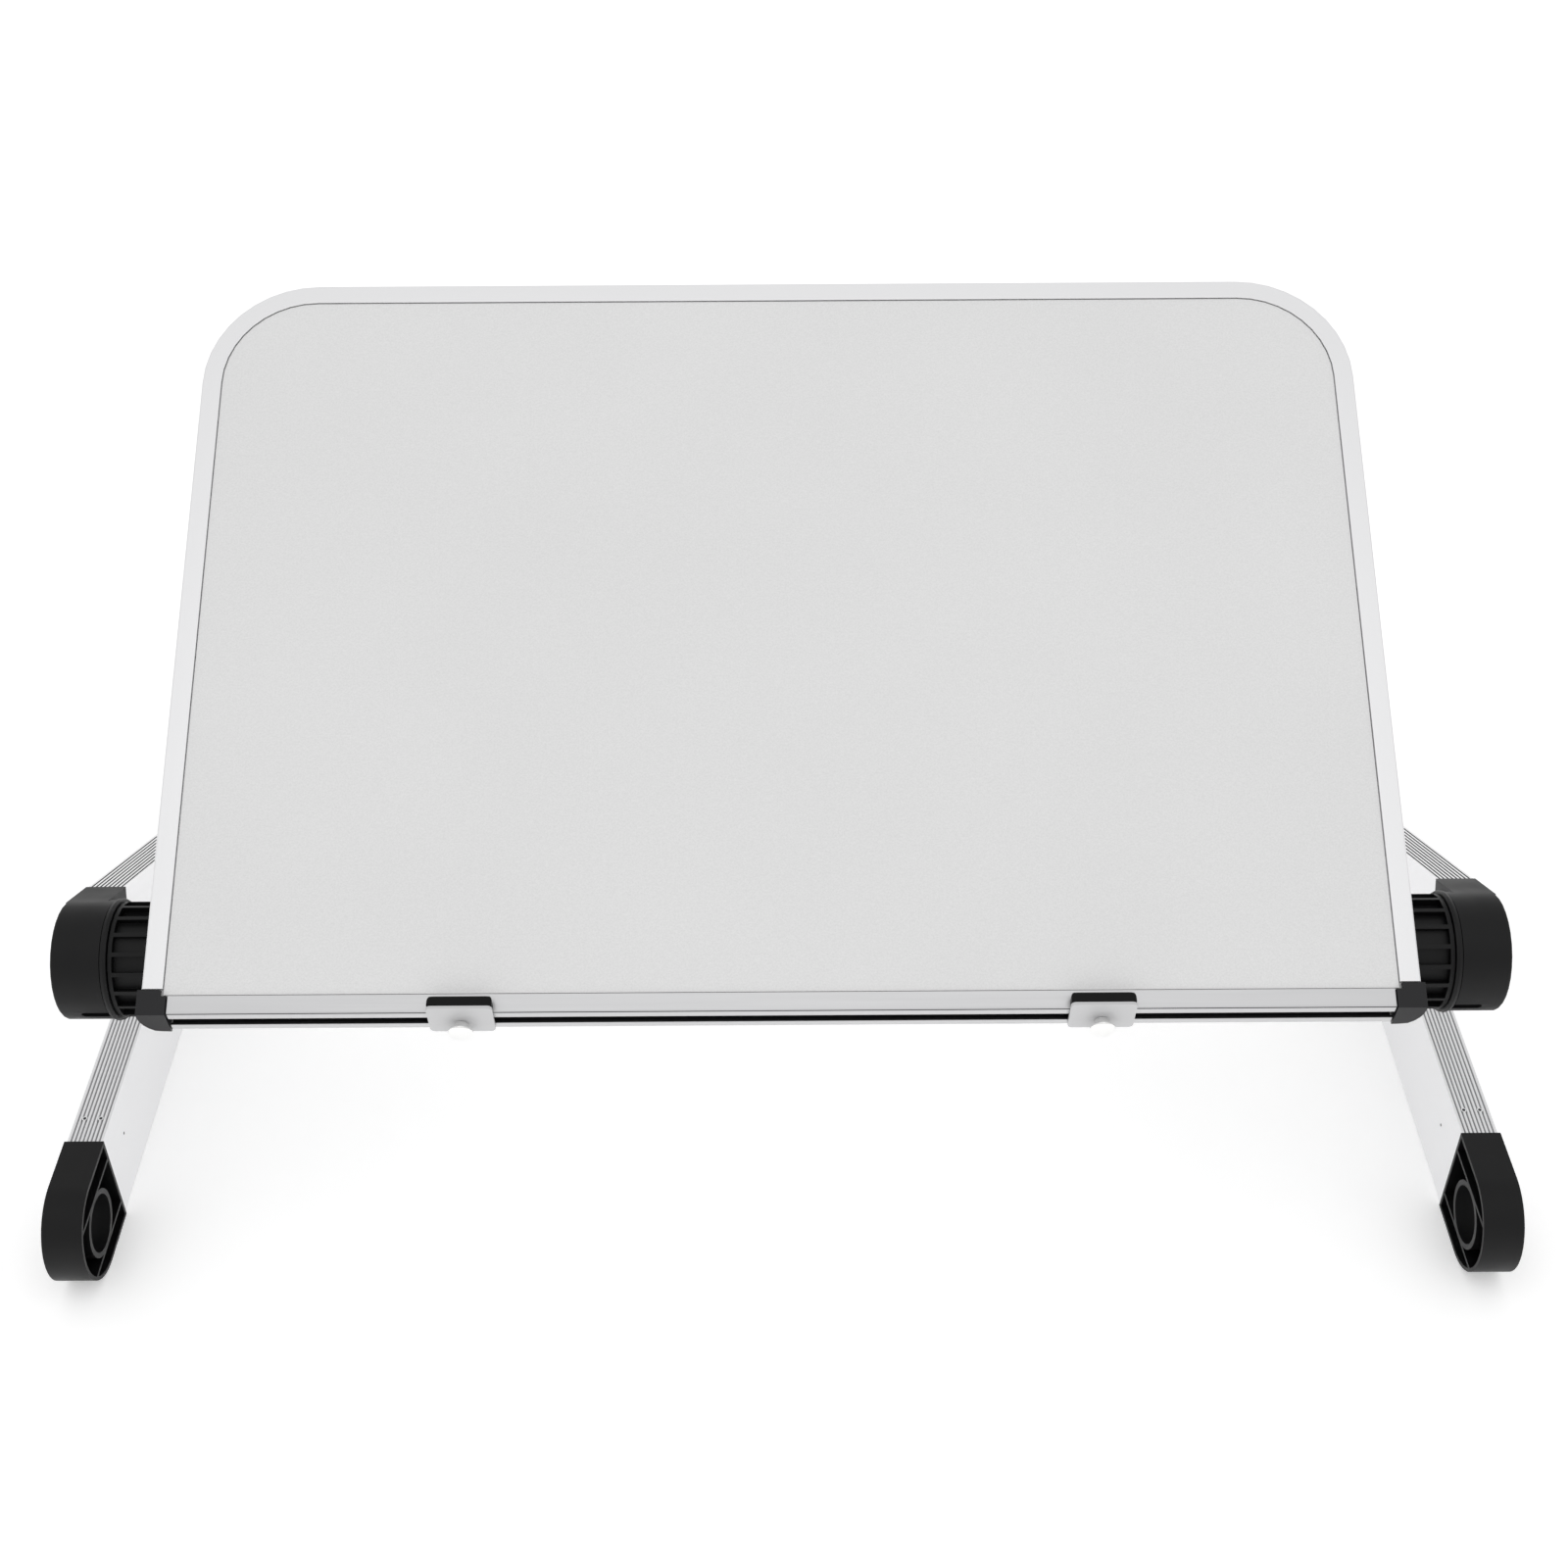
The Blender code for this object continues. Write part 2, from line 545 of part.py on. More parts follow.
def axle_bolt(name, side, face, inner_end, frame):
    """The hub's axle: a bolt whose head bears on the drum's web."""
    seat = RECESS_DEPTH + WEB_THICKNESS + GAP
    top = seat + BOLT_HEAD_THICKNESS
    bottom = inner_end - face
    profile = [(0.0, top), (BOLT_HEAD_RADIUS - 0.0005, top), (BOLT_HEAD_RADIUS, top - 0.0005),
               (BOLT_HEAD_RADIUS, seat), (BOLT_RADIUS, seat), (BOLT_RADIUS, bottom), (0.0, bottom)]
    bolt = new_piece(name, profile_mesh(name, profile, False), frame, SPRING_STEEL)
    turned(bolt, side, face, 16)


def axle_nut(name, side, inner_end, frame):
    """The hexagon nut on the bolt's inner end."""
    loops = [circle(NUT_RADIUS, 6), circle(BOLT_RADIUS + GAP, 16)]
    mesh = outline_mesh(name, loops, side * inner_end, side * (inner_end + NUT_THICKNESS))
    new_piece(name, mesh, frame, SPRING_STEEL)


def push_button(name, side, face, drum_width, frame):
    """A cup-shaped button, flush in the drum's outer face, whose three pins push the lock gear inwards."""
    top = drum_width + 0.0002
    inside = RECESS_DEPTH + WEB_THICKNESS + GAP + BOLT_HEAD_THICKNESS + BUTTON_TRAVEL + GAP
    skirt = RECESS_DEPTH + WEB_THICKNESS + BUTTON_TRAVEL + GAP
    inner_radius = BOLT_HEAD_RADIUS + 0.0005
    profile = [(0.0, top - 0.0004), (0.0055, top - 0.0003), (BUTTON_RADIUS - 0.0010, top),
               (BUTTON_RADIUS, top - 0.0010), (BUTTON_RADIUS, skirt), (inner_radius, skirt), (inner_radius, inside),
               (0.0, inside)]
    button = new_piece(name, profile_mesh(name, profile, False), frame, BUTTON_PLASTIC)
    turned(button, side, face)
    pins = bmesh.new()
    for y, z in button_pin_places():
        pin_range = (side * (face + GEAR_OUTER_END + GAP), side * (face + skirt + 0.0005))
        add_rod(pins, BUTTON_PIN_RADIUS, pin_range, y, z, 8)
    combine(button, new_cutter(name + "_pins", bmesh_to_mesh(name + "_pins", pins), frame), "UNION")


def spacer_ring(name, side, start, end, radius, frame, steps, material):
    """The thin ring between the two halves of a hub."""
    width = end - start
    inner_radius = GEAR_TIP_RADIUS + 0.0008
    profile = [(inner_radius, width), (radius - 0.0003, width), (radius, width / 2), (radius - 0.0003, 0.0),
               (inner_radius, 0.0)]
    ring = new_piece(name, profile_mesh(name, profile, True), frame, material)
    turned(ring, side, start, steps)


def hub_inside(prefix, side, face, drum_width, inner_end, inner_frame, outer_frame):
    """The parts that every hub holds."""
    lock_gear(prefix + "_lock_gear", side, face, inner_frame)
    lock_spring(prefix + "_lock_spring", side, face, inner_frame)
    axle_bolt(prefix + "_axle_bolt", side, face, inner_end, inner_frame)
    axle_nut(prefix + "_axle_nut", side, inner_end + 0.0005, inner_frame)
    push_button(prefix + "_push_button", side, face, drum_width, outer_frame)


# The brackets under the board

def bracket_screw_places(side):
    """The three fixing screws of a bracket, in the board's own plane."""
    return [(side * 0.1650, HUB_FROM_FRONT - 0.0130), (side * 0.1650, HUB_FROM_FRONT + 0.0130),
            (side * 0.1760, HUB_FROM_FRONT)]


def board_bracket(name, side, hub):
    """The bracket screwed under the board, ending in the ribbed half of the upper hub.

    The frame's X axis is the hub's axis, and its +Z points square to the board, at its underside.
    """
    top = BRACKET_TOP - GAP
    plate = new_piece(name, box_mesh(name, (side * BRACKET_X[0], side * BRACKET_X[1]), (-0.0185, 0.0185),
                                     (top - BRACKET_PLATE, top)), hub, HUB_PLASTIC)
    radius = RIBBED_RADIUS - 0.0015
    saddle_loop = arc(radius, 180.0, 360.0, 16) + [(0.0160, top - 0.0010), (-0.0160, top - 0.0010)]
    saddle = outline_mesh(name + "_saddle", [saddle_loop], side * SADDLE_X, side * (BRACKET_X[1] - 0.0010))
    combine(plate, new_cutter(name + "_saddle", saddle, hub), "UNION")
    drum = rod_mesh(name + "_drum", RIBBED_RADIUS, (side * (BRACKET_X[1] - 0.0045), side * RIBBED_END),
                    segments=DRUM_STEPS)
    combine(plate, new_cutter(name + "_drum", drum, hub), "UNION")
    pockets = bmesh.new()
    depth = 2 * (RIBBED_RADIUS - RIBBED_CORE_RADIUS)
    for index in range(RIB_COUNT):
        turn = Matrix.Rotation(2 * math.pi * (index + 0.5) / RIB_COUNT, 4, "X")
        start = BRACKET_X[1] + 0.0015
        end = RIBBED_END - 0.0014
        place = Matrix.Translation((side * (start + end) / 2, RIBBED_RADIUS, 0.0))
        bmesh.ops.create_cube(pockets, size=1.0,
                              matrix=turn @ place @ Matrix.Diagonal((end - start, depth, RIB_POCKET_WIDTH, 1.0)))
    combine(plate, new_cutter(name + "_pockets", bmesh_to_mesh(name + "_pockets", pockets), hub))
    combine(plate, toothed_pocket(name + "_teeth", side, UPPER_HUB_FACE, UPPER_HUB_FACE, hub))
    bore_range = (side * (SADDLE_X - 0.002), side * UPPER_HUB_FACE)
    bore = rod_mesh(name + "_bore", BOLT_HOLE_RADIUS, bore_range, segments=16)
    combine(plate, new_cutter(name + "_bore", bore, hub))
    combine(plate, nut_seat(name + "_nut_seat", side, SADDLE_X, BRACKET_BOLT_END + 0.0005, hub))
    holes = bmesh.new()
    for x, y in bracket_screw_places(side):
        bmesh.ops.create_cone(holes, cap_ends=True, segments=12, radius1=0.0017, radius2=0.0017, depth=0.012,
                              matrix=Matrix.Translation((x, y - HUB_FROM_FRONT, top - 0.002)))
    combine(plate, new_cutter(name + "_holes", bmesh_to_mesh(name + "_holes", holes), hub))


def bracket_screw(name, place, frame):
    """A pan-head screw that holds a bracket to the panel, driven from below."""
    under_plate = -HUB_BELOW_TOP + BRACKET_TOP - GAP - BRACKET_PLATE - GAP
    profile = [(0.0, 0.0090), (0.0013, 0.0075), (0.0013, 0.0), (0.0029, 0.0), (0.0026, -0.0012),
               (0.0016, -0.0018), (0.0, -0.0018)]
    screw = new_piece(name, profile_mesh(name, profile, False), frame, STAINLESS)
    modifier = screw.modifiers.new("turning", "SCREW")
    modifier.axis = "Z"
    modifier.steps = 12
    modifier.render_steps = 12
    modifier.use_merge_vertices = True
    modifier.merge_threshold = 0.00001
    screw.location = (place[0], place[1], under_plate)


# The legs

def profile_loops():
    """The aluminium section: flat sides, finely grooved narrow faces and one long hollow, across Y then X."""
    half_height = PROFILE_HEIGHT / 2
    half_width = (UPPER_LEG_X[1] - UPPER_LEG_X[0]) / 2
    top = [(-half_width, half_height)]
    for index in range(GROOVE_COUNT):
        middle = (index - (GROOVE_COUNT - 1) / 2) * GROOVE_PITCH
        for across, depth in ((-0.0004, 0.0), (-0.0002, GROOVE_DEPTH), (0.0002, GROOVE_DEPTH), (0.0004, 0.0)):
            top.append((middle + across, half_height - depth))
    top.append((half_width, half_height))
    bottom = [(-across, -up) for across, up in top]
    hollow_x = half_width - PROFILE_SIDE_WALL
    hollow_z = half_height - PROFILE_EDGE_WALL
    hollow = [(-hollow_x, -hollow_z), (hollow_x, -hollow_z), (hollow_x, hollow_z), (-hollow_x, hollow_z)]
    return [top + bottom, hollow]


def leg_profile(name, side, leg_x, pitch, frame):
    """An aluminium section along the frame's +Y, between the collars of its two fittings."""
    middle = side * (leg_x[0] + leg_x[1]) / 2
    start = COLLAR_LENGTH + GAP
    mesh = outline_mesh(name, profile_loops(), start, pitch - start, "Z")
    mesh.transform(Matrix.Translation((middle, 0.0, 0.0)) @ Matrix.Rotation(-math.pi / 2, 4, "X"))
    new_piece(name, mesh, frame, ALUMINIUM)


def toothed_fitting(name, side, frame):
    """The floor hub's inner half, at the upper section's far end: round end, tongue and toothed pocket."""
    outer_face = LOWER_HUB_FACE - 0.0012
    inner_face = UPPER_LEG_X[0] - 0.0006
    mesh = outline_mesh(name, [hub_loop(DRUM_RADIUS, COLLAR_LENGTH)], side * inner_face, side * outer_face)
    body = new_piece(name, mesh, frame, HUB_PLASTIC)
    half_tongue = PROFILE_HEIGHT / 2 - PROFILE_EDGE_WALL - GAP
    tongue = box_mesh(name + "_tongue", (side * (UPPER_LEG_X[0] + PROFILE_SIDE_WALL + GAP),
                                         side * (UPPER_LEG_X[1] - PROFILE_SIDE_WALL - GAP)),
                      (RECESS_RADIUS + 0.0010, COLLAR_LENGTH + TONGUE_LENGTH), (-half_tongue, half_tongue))
    combine(body, new_cutter(name + "_tongue", tongue, frame), "UNION")
    combine(body, toothed_pocket(name + "_teeth", side, LOWER_HUB_FACE, LOWER_HUB_FACE, frame))
    bore_range = (side * (inner_face - 0.001), side * LOWER_HUB_FACE)
    bore = rod_mesh(name + "_bore", BOLT_HOLE_RADIUS, bore_range, segments=16)
    combine(body, new_cutter(name + "_bore", bore, frame))
    combine(body, nut_seat(name + "_nut_seat", side, inner_face, inner_face + 0.0010, frame))


def foot_cap(name, side, frame):
    """The cap on the lower section's free end: a bored ring and two ribs in pockets open to the inner side."""
    inner_face = LOWER_HUB_FACE + 0.0001
    outer_face = LOWER_LEG_X[1] + 0.0009
    wall = 0.0014
    ring_radius = 0.0127
    cap = new_piece(name, outline_mesh(name, [hub_loop(FOOT_RADIUS, COLLAR_LENGTH, 24)], side * inner_face,
                                       side * outer_face), frame, HUB_PLASTIC)
    half_tongue = PROFILE_HEIGHT / 2 - PROFILE_EDGE_WALL - GAP
    tongue = box_mesh(name + "_tongue", (side * (LOWER_LEG_X[0] + PROFILE_SIDE_WALL + GAP),
                                         side * (LOWER_LEG_X[1] - PROFILE_SIDE_WALL - GAP)),
                      (COLLAR_LENGTH - wall / 2, COLLAR_LENGTH + TONGUE_LENGTH), (-half_tongue, half_tongue))
    combine(cap, new_cutter(name + "_tongue", tongue, frame), "UNION")
    pocket_range = (side * (inner_face - 0.001), side * (outer_face - 0.0015))
    pocket = new_cutter(name + "_pocket", outline_mesh(name + "_pocket",
                        [hub_loop(FOOT_RADIUS - wall, COLLAR_LENGTH - wall, 24)], *pocket_range), frame)
    wide = (side * (inner_face - 0.002), side * (outer_face + 0.001))
    combine(pocket, new_cutter(name + "_ring", rod_mesh(name + "_ring", ring_radius, wide, segments=32), frame))
    for end_name, height in (("upper", 1), ("lower", -1)):
        rib = box_mesh(name + "_rib_" + end_name, wide, (-0.0300, 0.0300),
                       (height * (ring_radius - 0.0012), height * ring_radius))
        combine(pocket, new_cutter(name + "_rib_" + end_name, rib, frame))
    combine(cap, pocket)
    combine(cap, new_cutter(name + "_bore", rod_mesh(name + "_bore", 0.0107, wide, segments=32), frame))


def leg(label, side, tabletop):
    """One leg: the two hubs, the two sections and the foot."""
    hub = new_empty(label + "_upper_hub_axis", tabletop, (0.0, HUB_FROM_FRONT, -HUB_BELOW_TOP))
    upper = new_empty(label + "_upper_leg_axis", hub, (0.0, 0.0, 0.0), -UPPER_SLOPE - BOARD_TILT)
    board_bracket(label + "_board_bracket", side, hub)
    for number, place in enumerate(bracket_screw_places(side), 1):
        bracket_screw(label + "_bracket_screw_" + str(number), place, tabletop)
    spacer_ring(label + "_upper_hub_flange", side, UPPER_HUB_FACE - FLANGE_WIDTH, UPPER_HUB_FACE - GAP,
                FLANGE_RADIUS, hub, DRUM_STEPS, HUB_PLASTIC)
    front = drum_fitting(label + "_upper_leg_drum", side, UPPER_HUB_FACE, UPPER_DRUM_WIDTH, UPPER_LEG_X, upper)
    rim_slot(front, side, upper)
    hub_inside(label + "_upper", side, UPPER_HUB_FACE, UPPER_DRUM_WIDTH, BRACKET_BOLT_END, hub, upper)
    leg_profile(label + "_upper_leg_profile", side, UPPER_LEG_X, UPPER_LEG_PITCH, upper)
    rear = new_empty(label + "_upper_leg_end", upper, (0.0, UPPER_LEG_PITCH, 0.0), math.pi)
    toothed_fitting(label + "_upper_leg_end_fitting", side, rear)
    lower = new_empty(label + "_lower_leg_axis", rear, (0.0, 0.0, 0.0), UPPER_SLOPE)
    spacer_ring(label + "_floor_hub_washer", side, LOWER_HUB_FACE - 0.0009, LOWER_HUB_FACE - GAP,
                DRUM_RADIUS - 0.0008, rear, SMALL_STEPS, NYLON)
    drum_fitting(label + "_lower_leg_drum", side, LOWER_HUB_FACE, LOWER_DRUM_WIDTH, LOWER_LEG_X, lower)
    hub_inside(label + "_floor", side, LOWER_HUB_FACE, LOWER_DRUM_WIDTH, UPPER_LEG_X[0] - 0.0001, rear, lower)
    leg_profile(label + "_lower_leg_profile", side, LOWER_LEG_X, LOWER_LEG_PITCH, lower)
    foot = new_empty(label + "_foot", lower, (0.0, LOWER_LEG_PITCH, 0.0), math.pi)
    foot_cap(label + "_foot_cap", side, foot)


# The stops

def stop_plate(name, stop):
    """The upright plate, rounded at its corners, with a hole for the screw."""
    half = STOP_WIDTH / 2
    corner = 0.0015
    loop = (arc(corner, 0.0, 90.0, 3, (half - corner, STOP_PLATE_ABOVE - corner))
            + arc(corner, 90.0, 180.0, 3, (-half + corner, STOP_PLATE_ABOVE - corner))
            + arc(corner, 180.0, 270.0, 3, (-half + corner, -STOP_PLATE_BELOW + corner))
            + arc(corner, 270.0, 360.0, 3, (half - corner, -STOP_PLATE_BELOW + corner)))
    mesh = outline_mesh(name, [loop, circle(0.0018, 16)], GAP, GAP + STOP_PLATE_THICKNESS, "Z")
    mesh.transform(Matrix.Rotation(math.pi / 2, 4, "X"))
    new_piece(name, mesh, stop, PLATE_METAL)


def stop_pad(name, stop):
    """The rubber pad behind the plate, resting on the rail's upper face."""
    surface = STOP_SCREW_FROM_TOP + GAP
    rise = math.tan(FRONT_FACE_LEAN)
    top = STOP_PLATE_ABOVE - 0.0002
    loop = [(0.0, surface), (PAD_THICKNESS, surface + PAD_THICKNESS * rise), (PAD_THICKNESS, top - 0.0006),
            (PAD_THICKNESS - 0.0006, top), (0.0, top)]
    half = STOP_WIDTH / 2 - 0.0002
    pad = new_piece(name, outline_mesh(name, [loop], -half, half), stop, RUBBER)
    corner = 0.0020
    for end_name, side in (("left", -1), ("right", 1)):
        inner = half - corner
        back = PAD_THICKNESS - corner
        bite = [(side * x, y) for x, y in arc(corner, 0.0, 90.0, 4, (inner, back))]
        bite += [(side * inner, PAD_THICKNESS + 0.001), (side * (half + 0.001), PAD_THICKNESS + 0.001),
                 (side * (half + 0.001), back)]
        cutter_name = name + "_corner_" + end_name
        combine(pad, new_cutter(cutter_name, outline_mesh(cutter_name, [bite], 0.0, 0.02, "Z"), stop))


def stop_screw(name, stop):
    """The thumb screw: shank, narrow collar and a domed disc, its axis square to the rail's front face."""
    face = GAP + STOP_PLATE_THICKNESS + 0.0001
    rim = face + 0.0029
    dome = [(0.0, rim + 0.0016), (0.0022, rim + 0.0015), (0.0039, rim + 0.0010), (0.0043, rim + 0.0006)]
    shank = [(0.0043, rim), (0.0024, rim), (0.0024, face), (0.0014, face), (0.0014, -0.0029), (0.0, -0.0029)]
    profile = dome + shank
    screw = new_piece(name, profile_mesh(name, profile, False), stop, STAINLESS)
    turned(screw, 1, 0.0)
    screw.rotation_euler = (math.pi / 2, 0.0, 0.0)


def stop_nut(name, stop):
    """The flat nut that slides in the groove's wide part."""
    half = CAVITY_WIDTH / 2 - GAP
    loop = [(-0.0060, -half), (0.0060, -half), (0.0060, half), (-0.0060, half)]
    start = GROOVE_LIP + GAP
    mesh = outline_mesh(name, [loop, circle(0.0014 + GAP, 12)], -start - CAVITY_DEPTH + 2 * GAP, -start, "Z")
    mesh.transform(Matrix.Rotation(math.pi / 2, 4, "X"))
    new_piece(name, mesh, stop, ZINC)


def edge_stop(label, side, tabletop):
    """One sliding stop: its frame lies on the front face, +Z up the face and +Y into the rail."""
    point = on_front_face(STOP_SCREW_FROM_TOP, 0.0)
    stop = new_empty(label + "_stop_axis", tabletop, (side * STOP_OFFSET, point[0], point[1]), -FRONT_FACE_LEAN)
    stop_plate(label + "_stop_plate", stop)
    stop_pad(label + "_stop_pad", stop)
    stop_screw(label + "_stop_screw", stop)
    stop_nut(label + "_stop_nut", stop)


for old in list(bpy.data.objects):
    bpy.data.objects.remove(old)

PARTS = new_collection("portable_drawing_board")
CUTTERS = new_collection("cutters")
LAMINATE = new_material("grey_laminate", (0.68, 0.68, 0.68), 0.45, 0.0)
ALUMINIUM = new_material("satin_aluminium", (0.80, 0.80, 0.81), 0.35, 1.0)
CAP_PLASTIC = new_material("cap_plastic", (0.030, 0.030, 0.032), 0.45, 0.0)
HUB_PLASTIC = new_material("hub_plastic", (0.012, 0.012, 0.013), 0.35, 0.0)
BUTTON_PLASTIC = new_material("button_plastic", (0.020, 0.020, 0.021), 0.30, 0.0)
NYLON = new_material("nylon_washer", (0.55, 0.55, 0.52), 0.50, 0.0)
ZINC = new_material("zinc_alloy", (0.55, 0.55, 0.56), 0.40, 1.0)
SPRING_STEEL = new_material("bright_steel", (0.60, 0.60, 0.61), 0.25, 1.0)
STAINLESS = new_material("stainless_steel", (0.70, 0.70, 0.71), 0.20, 1.0)
PLATE_METAL = new_material("grey_coated_steel", (0.50, 0.50, 0.50), 0.40, 0.6)
RUBBER = new_material("black_rubber", (0.010, 0.010, 0.010), 0.60, 0.0)

TABLETOP = new_empty("tabletop", None, BOARD_FRONT, BOARD_TILT)
board_panel(TABLETOP)
edge_frame(TABLETOP)
front_rail(TABLETOP)
for LABEL, SIDE in SIDES:
    corner_cap(LABEL + "_corner_cap", SIDE, TABLETOP)
    edge_stop(LABEL, SIDE, TABLETOP)
    leg(LABEL, SIDE, TABLETOP)
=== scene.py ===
# %% [markdown]
# # Finishing a portable drawing board
#
# The real object is a small folding board: a grey laminated panel held in aluminium rails, carried by two
# Z-shaped legs with black plastic hubs. The engineering model is already packed, so this lesson is about
# what a product photographer's model maker does next: soften every edge, give each surface its real finish,
# and light the whole in a plain studio.
#
# Each finished piece is made from its engineering node and rides on the same body, so all the joints still
# work.

import json
import math

import bmesh
import bpy
from mathutils import Matrix, Vector

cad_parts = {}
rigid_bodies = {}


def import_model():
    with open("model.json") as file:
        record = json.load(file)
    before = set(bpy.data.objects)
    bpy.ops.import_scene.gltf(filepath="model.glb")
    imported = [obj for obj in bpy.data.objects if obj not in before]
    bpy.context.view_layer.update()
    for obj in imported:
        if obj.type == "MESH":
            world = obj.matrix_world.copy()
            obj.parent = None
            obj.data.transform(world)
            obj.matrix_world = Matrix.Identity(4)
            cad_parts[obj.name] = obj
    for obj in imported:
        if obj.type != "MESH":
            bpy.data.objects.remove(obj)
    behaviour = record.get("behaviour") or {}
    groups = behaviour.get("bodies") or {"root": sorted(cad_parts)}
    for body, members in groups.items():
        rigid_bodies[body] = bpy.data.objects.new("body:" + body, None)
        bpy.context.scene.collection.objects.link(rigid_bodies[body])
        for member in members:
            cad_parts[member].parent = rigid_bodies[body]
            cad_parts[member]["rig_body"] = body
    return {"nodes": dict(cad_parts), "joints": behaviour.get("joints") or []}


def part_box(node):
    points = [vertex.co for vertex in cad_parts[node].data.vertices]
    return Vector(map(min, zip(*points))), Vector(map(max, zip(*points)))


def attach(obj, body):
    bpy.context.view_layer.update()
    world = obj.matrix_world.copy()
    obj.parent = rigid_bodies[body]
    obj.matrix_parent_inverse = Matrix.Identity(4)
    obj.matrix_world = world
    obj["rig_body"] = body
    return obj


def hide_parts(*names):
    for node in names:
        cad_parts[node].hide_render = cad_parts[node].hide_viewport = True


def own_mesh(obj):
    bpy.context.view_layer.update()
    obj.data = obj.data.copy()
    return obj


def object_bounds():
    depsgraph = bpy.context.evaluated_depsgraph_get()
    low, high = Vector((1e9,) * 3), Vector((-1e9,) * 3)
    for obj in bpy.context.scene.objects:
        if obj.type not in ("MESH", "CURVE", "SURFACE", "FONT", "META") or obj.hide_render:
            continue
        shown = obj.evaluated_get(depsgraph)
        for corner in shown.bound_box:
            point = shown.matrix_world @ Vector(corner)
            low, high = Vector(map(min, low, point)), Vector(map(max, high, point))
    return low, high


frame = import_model()
cad_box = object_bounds()
print("engineering nodes:", len(frame["nodes"]))
print("box:", [tuple(round(value, 4) for value in corner) for corner in cad_box])

# %% [markdown]
# ## Places to measure from
#
# A finish often follows a direction: the fine drawing lines of an extruded section run along it. Two joints
# tell where the hubs are, and from them comes the slope of the upper leg section; the board's tilt is given.

# %% Measure the hubs and the slopes
joint_places = {joint["name"]: Vector(joint["pos_m"]) for joint in frame["joints"] if joint.get("pos_m")}
upper_hub = joint_places["right_upper_hub_turn"]
floor_hub = joint_places["right_floor_hub_turn"]
leg_slope = math.atan2(upper_hub.z - floor_hub.z, floor_hub.y - upper_hub.y)
board_tilt = math.radians(31.8)
print("leg slope:", round(math.degrees(leg_slope), 2), "degrees")
print("upper hub at", tuple(round(value, 4) for value in upper_hub))

# %% [markdown]
# ## Colours and nodes
#
# Colours are written as sRGB hex, the way a colour chart gives them, and turned to the linear values that
# shaders use. One small function adds a node, sets it and links it, so that each material below reads as a
# recipe.

# %% Two helpers for every material
def linear(hex_colour):
    """An sRGB hex colour as linear red, green, blue and alpha."""
    channels = [int(hex_colour[index:index + 2], 16) / 255 for index in (1, 3, 5)]
    steep = [((value + 0.055) / 1.055) ** 2.4 for value in channels]
    return [value / 12.92 if value <= 0.04045 else power for value, power in zip(channels, steep)] + [1.0]


def add_node(tree, kind, settings=None, links=None):
    """Add a node, set its properties or unlinked inputs, and feed its inputs from other sockets."""
    node = tree.nodes.new(kind)
    for key, value in (settings or {}).items():
        if isinstance(key, int) or key in node.inputs:
            node.inputs[key].default_value = value
        else:
            setattr(node, key, value)
    for key, socket in (links or {}).items():
        tree.links.new(socket, node.inputs[key])
    return node


def start_material(name, hex_colour, metallic, roughness):
    """A material with its shader's constant values set. Returns the material, its tree and its shader."""
    material = bpy.data.materials.new(name)
    material.use_nodes = True
    shader = material.node_tree.nodes["Principled BSDF"]
    shader.inputs["Base Color"].default_value = linear(hex_colour)
    shader.inputs["Metallic"].default_value = metallic
    shader.inputs["Roughness"].default_value = roughness
    return material, material.node_tree, shader


def along(tree, turn=0.0, stretch=(1.0, 1.0, 1.0)):
    """The object's own coordinates in millimetres, turned about X and stretched."""
    place = add_node(tree, "ShaderNodeTexCoord")
    turned = add_node(tree, "ShaderNodeMapping", {"Rotation": (turn, 0.0, 0.0)},
                      {"Vector": place.outputs["Object"]})
    scale = tuple(1000.0 * value for value in stretch)
    scaled = add_node(tree, "ShaderNodeMapping", {"Scale": scale}, {"Vector": turned.outputs["Vector"]})
    return scaled.outputs["Vector"]


def between(tree, factor, low, high):
    """A value that runs from low to high as the factor runs from 0.3 to 0.7, where most noise lies."""
    settings = {"From Min": 0.3, "From Max": 0.7, "To Min": low, "To Max": high}
    return add_node(tree, "ShaderNodeMapRange", settings, {"Value": factor}).outputs["Result"]


print("sRGB #808080 is", round(linear("#808080")[0], 4), "linear")

# %% [markdown]
# ## The grey laminate
#
# The panel is fibreboard with a melamine-faced paper laminate, pressed on a fine matt plate. The eye sees a
# flat light grey, and close up a dust-fine texture of about half a millimetre that scatters the light. A
# noise a little coarser than real drives a very small bump, and a second one shades the colour by one or
# two percent. A board in use also has a dust speck here and there, about one in ten centimetres.

